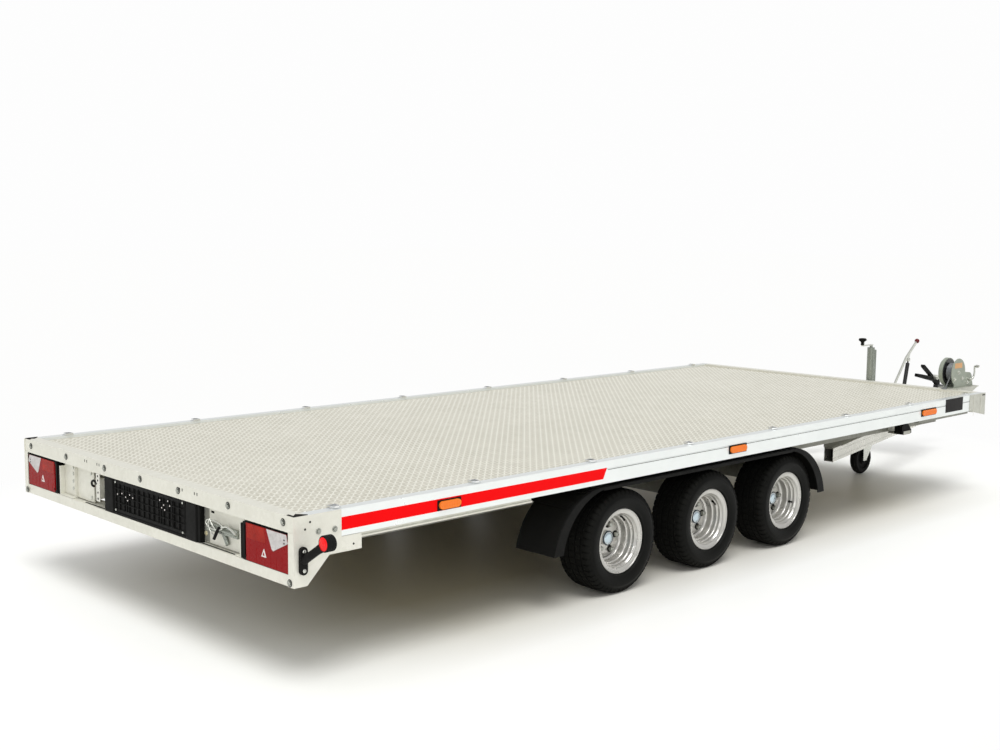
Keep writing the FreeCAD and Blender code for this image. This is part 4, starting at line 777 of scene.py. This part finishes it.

# Side: stripe on both rails, markers' bases and ribs, blank sign on the near side, thin lower flange, and a
# dark strip painted as shade under the front of each rail
rail = dict(y=1.067)
stripe = dict(t=0.0005, outline=((-3.147, 0.543), (-1.764, 0.543), (-1.741, 0.5895), (-3.147, 0.5895)))
shape = extruded(stripe["outline"], "y", rail["y"], rail["y"] + stripe["t"])
makeObject("stripes", bothWays(shape), "stripeRed", smooth=0)
sign = dict(x0=1.252, x1=1.462, z0=0.54, z1=0.618, t=0.0016)
plate = slab((sign["x0"], -rail["y"] - sign["t"], sign["z0"]), (sign["x1"], -rail["y"], sign["z1"]))
makeObject("blankSign", plate, "signBlack", bevel=0.0006)
marker = dict(
    x=((-2.693, -2.587), (-0.865, -0.739), (0.971, 1.128)), z=(0.549, 0.58), base=0.003, face=1.078,
    ribW=0.0016, ribStep=0.0085,
)
bases, ribs = [], []
z0, z1 = marker["z"]
for x0, x1 in marker["x"]:
    low = (x0 - 0.007, rail["y"], z0 - 0.005)
    bases.append(slab(low, (x1 + 0.007, rail["y"] + marker["base"], z1 + 0.005)))
    for x in np.arange(x0 + 0.01, x1 - 0.008, marker["ribStep"]):
        low = (x, marker["face"] - 0.002, z0 + 0.004)
        ribs.append(slab(low, (x + marker["ribW"], marker["face"] + 0.0008, z1 - 0.004)))
makeObject("markerBases", bothWays(joined(bases)), "blackPlastic", bevel=0.0012)
makeObject("markerRibs", bothWays(joined(ribs)), "amberLens", smooth=0)
flanges = dict(
    foot=((-3.05, 1.0495, 0.501), (-2.18, 1.056, 0.508)),
    web=((-3.05, 1.0455, 0.501), (-2.18, 1.0495, 0.522)),
    front=((0.96, 0.99, 0.508), (1.548, 1.06, 0.5216)),
)
lip = [slab(*flanges["foot"]), slab(*flanges["web"])]
makeObject("sideFlanges", bothWays(joined(lip)), "frameSteel", bevel=0.0006)
# Dark strip painted as the shade under the front of each rail
makeObject("frontRailShade", bothWays(slab(*flanges["front"])), "underSteelShaded", bevel=0.001)
corner = dict(
    y=1.0702, ear=(-3.092, 0.486), holes=((-3.281, 0.594), (-3.302, 0.571)),
    bolts=((-3.246, 0.556), (-3.176, 0.553)),
)
spots = [(x, s * corner["y"], z) for s in signs for x, z in corner["holes"]]
spots += [(corner["ear"][0], s * (rail["y"] + 0.0002), corner["ear"][1]) for s in signs]
rings = [aimed(holeRing(0.0036), (0, np.sign(p[1]), 0), p) for p in spots]
makeObject("sideHoles", joined(rings), "shadowGap")
bolt = hexBolt(0.0078, 0.006, 0.0112)
heads = [aimed(bolt, (0, s, 0), (x, s * corner["y"], z)) for s in signs for x, z in corner["bolts"]]
makeObject("cornerBolts", joined(heads), "boltSteel", smooth=30)
lines = dict(z0=0.5792, z1=0.5812, runs=((-1.735, 1.25), (1.464, 1.548)), t=0.0004)
low, high = (rail["y"] - 0.001, lines["z0"]), (rail["y"] + lines["t"], lines["z1"])
bars = [slab((x0, *low), (x1, *high)) for x0, x1 in lines["runs"]]
makeObject("grooveLines", bothWays(joined(bars)), "shadowGap", smooth=0)
front = dict(y=1.0702, ridges=(1.596, 1.69), ridgeW=0.003, ridgeT=0.0016, z0=0.492, z1=0.612,
             slot=(1.708, 1.742), slotT=0.0008, slotZ=(0.6045, 0.6105))
low, high = (front["y"], front["z0"]), (front["y"] + front["ridgeT"], front["z1"])
bars = [slab((x, *low), (x + front["ridgeW"], *high)) for x in front["ridges"]]
makeObject("frontRidges", bothWays(joined(bars)), "frameSteel", bevel=0.0005)
(x0, x1), (z0, z1) = front["slot"], front["slotZ"]
cut = slab((x0, front["y"], z0), (x1, front["y"] + front["slotT"], z1))
makeObject("frontSlots", bothWays(cut), "shadowGap", smooth=0)
print("sides")

# Outline lamps: round-ended foot, arm and short head, red lens to the rear and clear lens to the front
outline = dict(
    y=1.165, z=0.536, back=-3.296, front=-3.257, r=0.0294, lens=0.024,
    footX=-3.315, footY=(1.0704, 1.083), footR=0.0155, low=0.43, high=0.498,
    groove=(-3.279, -3.278, -3.276, -3.275), grooveDepth=0.0012, armR=(0.015, 0.015, 0.0185),
    arm=((-3.315, 1.078, 0.464), (-3.308, 1.104, 0.484), (-3.294, 1.132, 0.508), (-3.278, 1.152, 0.526)),
)
a = np.radians(np.linspace(0, 180, 13))
x, low, high = outline["footX"], outline["low"], outline["high"]
bend = [(outline["footR"] * math.cos(t), outline["footR"] * math.sin(t)) for t in a]
path = [(x + dx, high + dz) for dx, dz in bend] + [(x - dx, low - dz) for dx, dz in bend]
plate = extruded(path, "y", *outline["footY"])
armLine = smoothPath(outline["arm"], 5)
n = len(armLine)
arm = tube(armLine, np.interp(np.arange(n), [0, n * 0.6, n - 1], outline["armR"]), 14)
r, x0, x1 = outline["r"], outline["back"], outline["front"]
cuts = zip((r, r - outline["grooveDepth"], r - outline["grooveDepth"], r), outline["groove"])
shell = [(0, x0), (r - 0.003, x0), (r, x0 + 0.003), *cuts, (r, x1 - 0.003), (r - 0.003, x1), (0, x1)]
head = turned(shell, 40, (0, outline["y"], outline["z"]), axis="x")
lamps = makeObject("outlineLampBodies", bothWays(joined([plate, arm, head])), "blackRubber", bevel=0.001)
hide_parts("outlineLamps")
dome = [(0, 0.0046), (0.35, 0.0044), (0.7, 0.0034), (0.93, 0.0018), (1.0, 0), (0, 0)]
dome = turned([(outline["lens"] * k, h) for k, h in dome], 32, axis="z")
core = disc(outline["lens"] * 0.4, 0.0056, 0.001)
for title, look, way, x in (("outlineRed", "redGlow", -1, x0), ("outlineClear", "clearLens", 1, x1)):
    spots = [(x, k * outline["y"], outline["z"]) for k in signs]
    makeObject(title, joined([placed(dome, (way, 0, 0), spots), placed(core, (way, 0, 0), spots)]), look)
head = panScrew(0.007, 0.0036)
x, y = outline["footX"], outline["footY"][1]
heads = [aimed(head, (0, k, 0), (x, k * y, z)) for k in signs for z in (low, high)]
makeObject("outlineBolts", joined(heads), "zinc")

# Deck edge: pan screws between the rings, along both rails and across the front
screws = dict(y=1.004, first=-2.98, step=0.3364, count=14, frontX=1.672, frontY=(-0.8, -0.4, 0.0, 0.4, 0.8))
along = [screws["first"] + k * screws["step"] for k in range(screws["count"])]
spots = [(x, s * screws["y"], deck["z"]) for s in signs for x in along]
spots += [(screws["frontX"], y, deck["z"]) for y in screws["frontY"]]
makeObject("deckScrews", placed(panScrew(0.0055, 0.003), upward, spots), "zinc")
print("edges")

# Mudguards: beads along both edges of the long guard
guard = dict(x=(-1.743, -0.311), z=0.197, r=0.3062, inner=0.834, outer=1.049, bead=0.003, low=20.0)


def guardPath(y):
    # Rises behind the rear wheel, runs level over the tyres and comes down ahead of the front wheel
    bends, r = [], guard["r"]
    for x, start, end in zip(guard["x"], (180.0 - guard["low"], 90.0), (90.0, guard["low"])):
        a = np.radians(np.linspace(start, end, 16))
        bends.append(np.stack([x + r * np.cos(a), np.full(16, y), guard["z"] + r * np.sin(a)], axis=1))
    return np.vstack(bends)


beadsShape = joined([tube(guardPath(y), guard["bead"], 8, 0.6) for y in (guard["inner"], guard["outer"])])
makeObject("guardBeads", bothWays(beadsShape), "blackPlastic")
print("mudguards")

# Winch: rope wound on the drum, flange, bolts, cover screws, plain label and crank handle
winch = dict(
    x=1.8, y=-0.83, z=0.72, outer=-0.8642, cover=-0.7698,
    windHalf=0.0215, windR=0.0535, turns=7, wire=0.0032, core=0.03, flangeY=-0.8028,
    flange=((0.05, 0), (0.0815, 0), (0.0825, 0.0012), (0.0815, 0.0024), (0.05, 0.0024), (0.05, 0)),
    bolts=((0, 0), (-0.05, -0.04), (0.05, -0.04), (0.118, -0.07)), screwR=0.074,
    screwAngles=(50, 130, 210, 330),
    labelX=(-0.05, 0.044), labelZ=(0.028, 0.06),
)
outward = (0, -1, 0)


def woundRope():
    # r = windR + wire * |sin(turns * pi * s)| along the drum for s from 0 to 1
    s = np.linspace(0, 1, winch["turns"] * 8 + 1)
    r = winch["windR"] + winch["wire"] * np.abs(np.sin(winch["turns"] * math.pi * s))
    half, core = winch["windHalf"], winch["core"]
    profile = [(core, -half), *zip(r, half * (2 * s - 1)), (core, half)]
    return turned(profile, 48, (winch["x"], winch["y"], winch["z"]))


makeObject("woundRope", woundRope(), "rope", smooth=50)
shape = turned(winch["flange"], 48, (winch["x"], winch["flangeY"], winch["z"]))
makeObject("drumFlange", shape, "blackPaint")
spots = [(winch["x"] + dx, winch["outer"], winch["z"] + dz) for dx, dz in winch["bolts"]]
makeObject("winchBolts", placed(hexBolt(0.0085, 0.007, 0.012, 0.004), outward, spots), "zinc", smooth=30)
r, angles = winch["screwR"], np.radians(winch["screwAngles"])
spots = [(winch["x"] + r * math.cos(a), winch["cover"], winch["z"] + r * math.sin(a)) for a in angles]
makeObject("coverScrews", placed(panScrew(0.0055, 0.0032), (0, 1, 0), spots), "zinc")
(x0, x1), (z0, z1) = winch["labelX"], winch["labelZ"]
low = (winch["x"] + x0, winch["outer"] - 0.0006, winch["z"] + z0)
label = slab(low, (winch["x"] + x1, winch["outer"] + 0.0002, winch["z"] + z1))
makeObject("winchLabel", label, "labelOrange")
handle = dict(
    foot=(1.94, -0.865, 0.668), knob=(1.969, -0.884, 0.751), armR=0.0056,
    arm=((1.94, -0.88, 0.668), (1.957, -0.882, 0.673), (1.971, -0.884, 0.7), (1.969, -0.886, 0.751)),
)
foot = turned([(0, 0), (0.0098, 0), (0.0098, 0.013), (0.008, 0.018), (0, 0.018)], 20, axis="z")
gripProfile = [
    (0, 0), (0.004, 0), (0.004, 0.006), (0.0085, 0.009),
    (0.0092, 0.02), (0.008, 0.03), (0.0045, 0.0315), (0, 0.0315),
]
grip = turned(gripProfile, 20, axis="z")
arm = tube(smoothPath(handle["arm"], 6), handle["armR"], 10)
shape = joined([aimed(foot, outward, handle["foot"]), arm, aimed(grip, outward, handle["knob"])])
crank = makeObject("winchHandle", shape, "zinc", smooth=40)
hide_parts("winchCrank")
print("winch")

# Jockey wheel crank: black mushroom knob over the turning post
crankBox = [Vector(v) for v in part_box("jockeyCrank")]
knob = (crankBox[0].x + 0.012, (crankBox[0].y + crankBox[1].y) / 2, crankBox[1].z - 0.044)
mushroom = [
    (0, 0), (0.0105, 0), (0.0112, 0.004), (0.0098, 0.01), (0.01, 0.018), (0.015, 0.0235),
    (0.0228, 0.0285), (0.0247, 0.033), (0.0246, 0.039), (0.0215, 0.0428), (0.014, 0.0444), (0, 0.0447),
]
makeObject("crankKnob", turned(mushroom, 32, knob, axis="z"), "blackPlastic", "jockeyLeg", smooth=50)

# Red ball of the brake lever, collar of the gas strut, pivot of the coupling, rib of the jockey post
lever = dict(tip=(2.982, 0.057, 0.786), r=0.0176, collar=(2.865, 0.057, 0.655))
t = np.linspace(-math.pi / 2, math.pi / 2, 13)
ball = turned(np.stack([lever["r"] * np.cos(t), lever["r"] * np.sin(t)], axis=1), 24, lever["tip"], axis="z")
makeObject("leverBall", ball, "knobRed", smooth=60)
profile = [(0, -0.012), (0.0125, -0.012), (0.014, -0.008), (0.014, 0.008), (0.012, 0.012), (0, 0.012)]
makeObject("strutCollar", turned(profile, 20, lever["collar"], axis="z"), "zinc", smooth=50)
pin = dict(x=3.15, z=0.51, r=0.0185, half=0.034)
pivot = turned(barrel(pin["r"], pin["half"], 0.002, 0.004), 24, (pin["x"], 0.0, pin["z"]))
head = hexBolt(0.0085, 0.0065, 0.013)
bolts = [aimed(head, (0, k, 0), (pin["x"], pin["half"] * k, pin["z"])) for k in signs]
makeObject("couplingPivot", joined([pivot] + bolts), "zinc", smooth=40)
legRib = dict(x=1.8185, y=-0.269, r=0.0095, z0=0.35, z1=0.818)
r, z0, z1 = legRib["r"], legRib["z0"], legRib["z1"]
profile = [(0, z0), (r, z0), (r, z1 - 0.004), (r - 0.003, z1), (0, z1)]
shape = turned(profile, 20, (legRib["x"], legRib["y"], 0), axis="z")
makeObject("jockeyRib", shape, "jockeySteel", "jockeyLeg", smooth=50)

# Floor: a brownish painted shadow under the trailer, faded to white by distance outside a rectangle round it
stage = dict(
    size=60.0, middleX=0.7, halfX=2.45, halfY=1.05, nearFade=0.15, farFade=2.0, pale=(0.96, 0.96, 0.94),
    grey=(0.93, 0.935, 0.905), shadowTint=(0.5, 0.45, 0.33), shadowTintX=(1.7, 2.7), shadowTintY=(0.5, 1.3),
)
mats["floorPale"] = emptyMaterial("floorPale")
t = mats["floorPale"].node_tree
out = t.nodes.new("ShaderNodeOutputMaterial")
where = objectSpace(t)
mask, fine = useGroup(t, "grime", 0.35)
tone = blend(t, mask, stage["grey"], stage["pale"])
axes = newNode(t, "ShaderNodeSeparateXYZ", i0=where).outputs
offX = maths(t, "ABSOLUTE", plus(t, axes[0], stage["middleX"]))
offY = maths(t, "ABSOLUTE", axes[1])
underShadowX, underShadowY = spread(t, offX, *stage["shadowTintX"], 1.0, 0.0), spread(t, offY, *stage["shadowTintY"], 1.0, 0.0)
# Brownish tone painted as the trailer's shadow on the floor beneath it
tone = blend(t, times(t, underShadowX, underShadowY), tone, stage["shadowTint"])
p = newNode(t, "ShaderNodeBsdfPrincipled", Base_Color=tone, Roughness=0.42)
p.inputs["Specular IOR Level"].default_value = 0.35
pastX = maths(t, "MAXIMUM", maths(t, "SUBTRACT", offX, stage["halfX"]), 0.0)
pastY = maths(t, "MAXIMUM", maths(t, "SUBTRACT", offY, stage["halfY"]), 0.0)
far = maths(t, "SQRT", plus(t, times(t, pastX, pastX), times(t, pastY, pastY)))
fade = spread(t, far, stage["nearFade"], stage["farFade"], 0.0, 1.0)
cameraRay = t.nodes.new("ShaderNodeLightPath").outputs["Is Camera Ray"]
white = newNode(t, "ShaderNodeEmission", Color=(0.985, 0.985, 0.98, 1), Strength=1.0)
mix = newNode(t, "ShaderNodeMixShader", i0=times(t, fade, cameraRay))
t.links.new(p.outputs[0], mix.inputs[1])
t.links.new(white.outputs[0], mix.inputs[2])
t.links.new(mix.outputs[0], out.inputs[0])
s = stage["size"]
floorShape = (np.array([(-s, -s, 0), (s, -s, 0), (s, s, 0), (-s, s, 0)], float), [[0, 1, 2, 3]])
floor = makeObject("floor", floorShape, "floorPale", body=None, smooth=0)

# World: bright to the camera, dimmer as a light, darker still in mirror reflections
sphere = dict(colour=(0.985, 0.985, 0.985, 1), light=0.72, camera=1.0, mirrorDrop=0.38)
world = bpy.data.worlds.new("studio")
bpy.context.scene.world = world
world.use_nodes = True
t = world.node_tree
t.nodes.clear()
path = t.nodes.new("ShaderNodeLightPath")
mirrorRay = maths(t, "MAXIMUM", path.outputs["Is Glossy Ray"], path.outputs["Is Transmission Ray"])
seen = maths(t, "MAXIMUM", path.outputs["Is Camera Ray"], mirrorRay)
strength = spread(t, seen, 0.0, 1.0, sphere["light"], sphere["camera"])
strength = maths(t, "SUBTRACT", strength, times(t, mirrorRay, sphere["mirrorDrop"]))
bg = newNode(t, "ShaderNodeBackground", Color=sphere["colour"], Strength=strength)
t.links.new(bg.outputs[0], t.nodes.new("ShaderNodeOutputWorld").inputs[0])


def areaLamp(name, place, aim, size, power):
    light = bpy.data.lights.new(name, "AREA")
    light.shape = "RECTANGLE"
    light.size, light.size_y = size
    light.energy = power
    obj = newObject(name, light)
    obj.location = place
    obj.rotation_euler = (Vector(aim) - Vector(place)).to_track_quat("-Z", "Y").to_euler()


overhead = dict(energy=1.85, angle=32, tilt=(18, -14, 0))
sky = bpy.data.lights.new("overhead", "SUN")
sky.energy = overhead["energy"]
sky.angle = math.radians(overhead["angle"])
newObject("overhead", sky).rotation_euler = [math.radians(v) for v in overhead["tilt"]]
areaLamp("nearSoft", (-7.0, -6.5, 3.6), (-0.5, 0, 0.4), (4.0, 2.4), 95)

# Camera: place in metres, angles in degrees, focal length in pixels of a picture 1000 pixels wide
view = dict(place=(-5.814, -4.637, 1.618), yaw=46.105, pitch=-6.71, roll=0.55, focal=1285.4)
yaw, pitch, roll = [math.radians(view[k]) for k in ("yaw", "pitch", "roll")]
ahead = np.array([math.cos(yaw) * math.cos(pitch), math.sin(yaw) * math.cos(pitch), math.sin(pitch)])
across = np.cross(ahead, (0, 0, 1))
across /= np.linalg.norm(across)
over = np.cross(across, ahead)
right = math.cos(roll) * across + math.sin(roll) * over
above = -math.sin(roll) * across + math.cos(roll) * over
cam = bpy.data.cameras.new("camera")
cam.sensor_width = 36.0
cam.lens = view["focal"] / 1000.0 * 36.0
cam.clip_end = 200.0
camObj = newObject("camera", cam)
m = np.eye(4)
m[:3, 0], m[:3, 1], m[:3, 2], m[:3, 3] = right, above, -ahead, view["place"]
camObj.matrix_world = Matrix(m.tolist())
bpy.context.scene.camera = camObj
bpy.context.scene.view_settings.view_transform = "Standard"
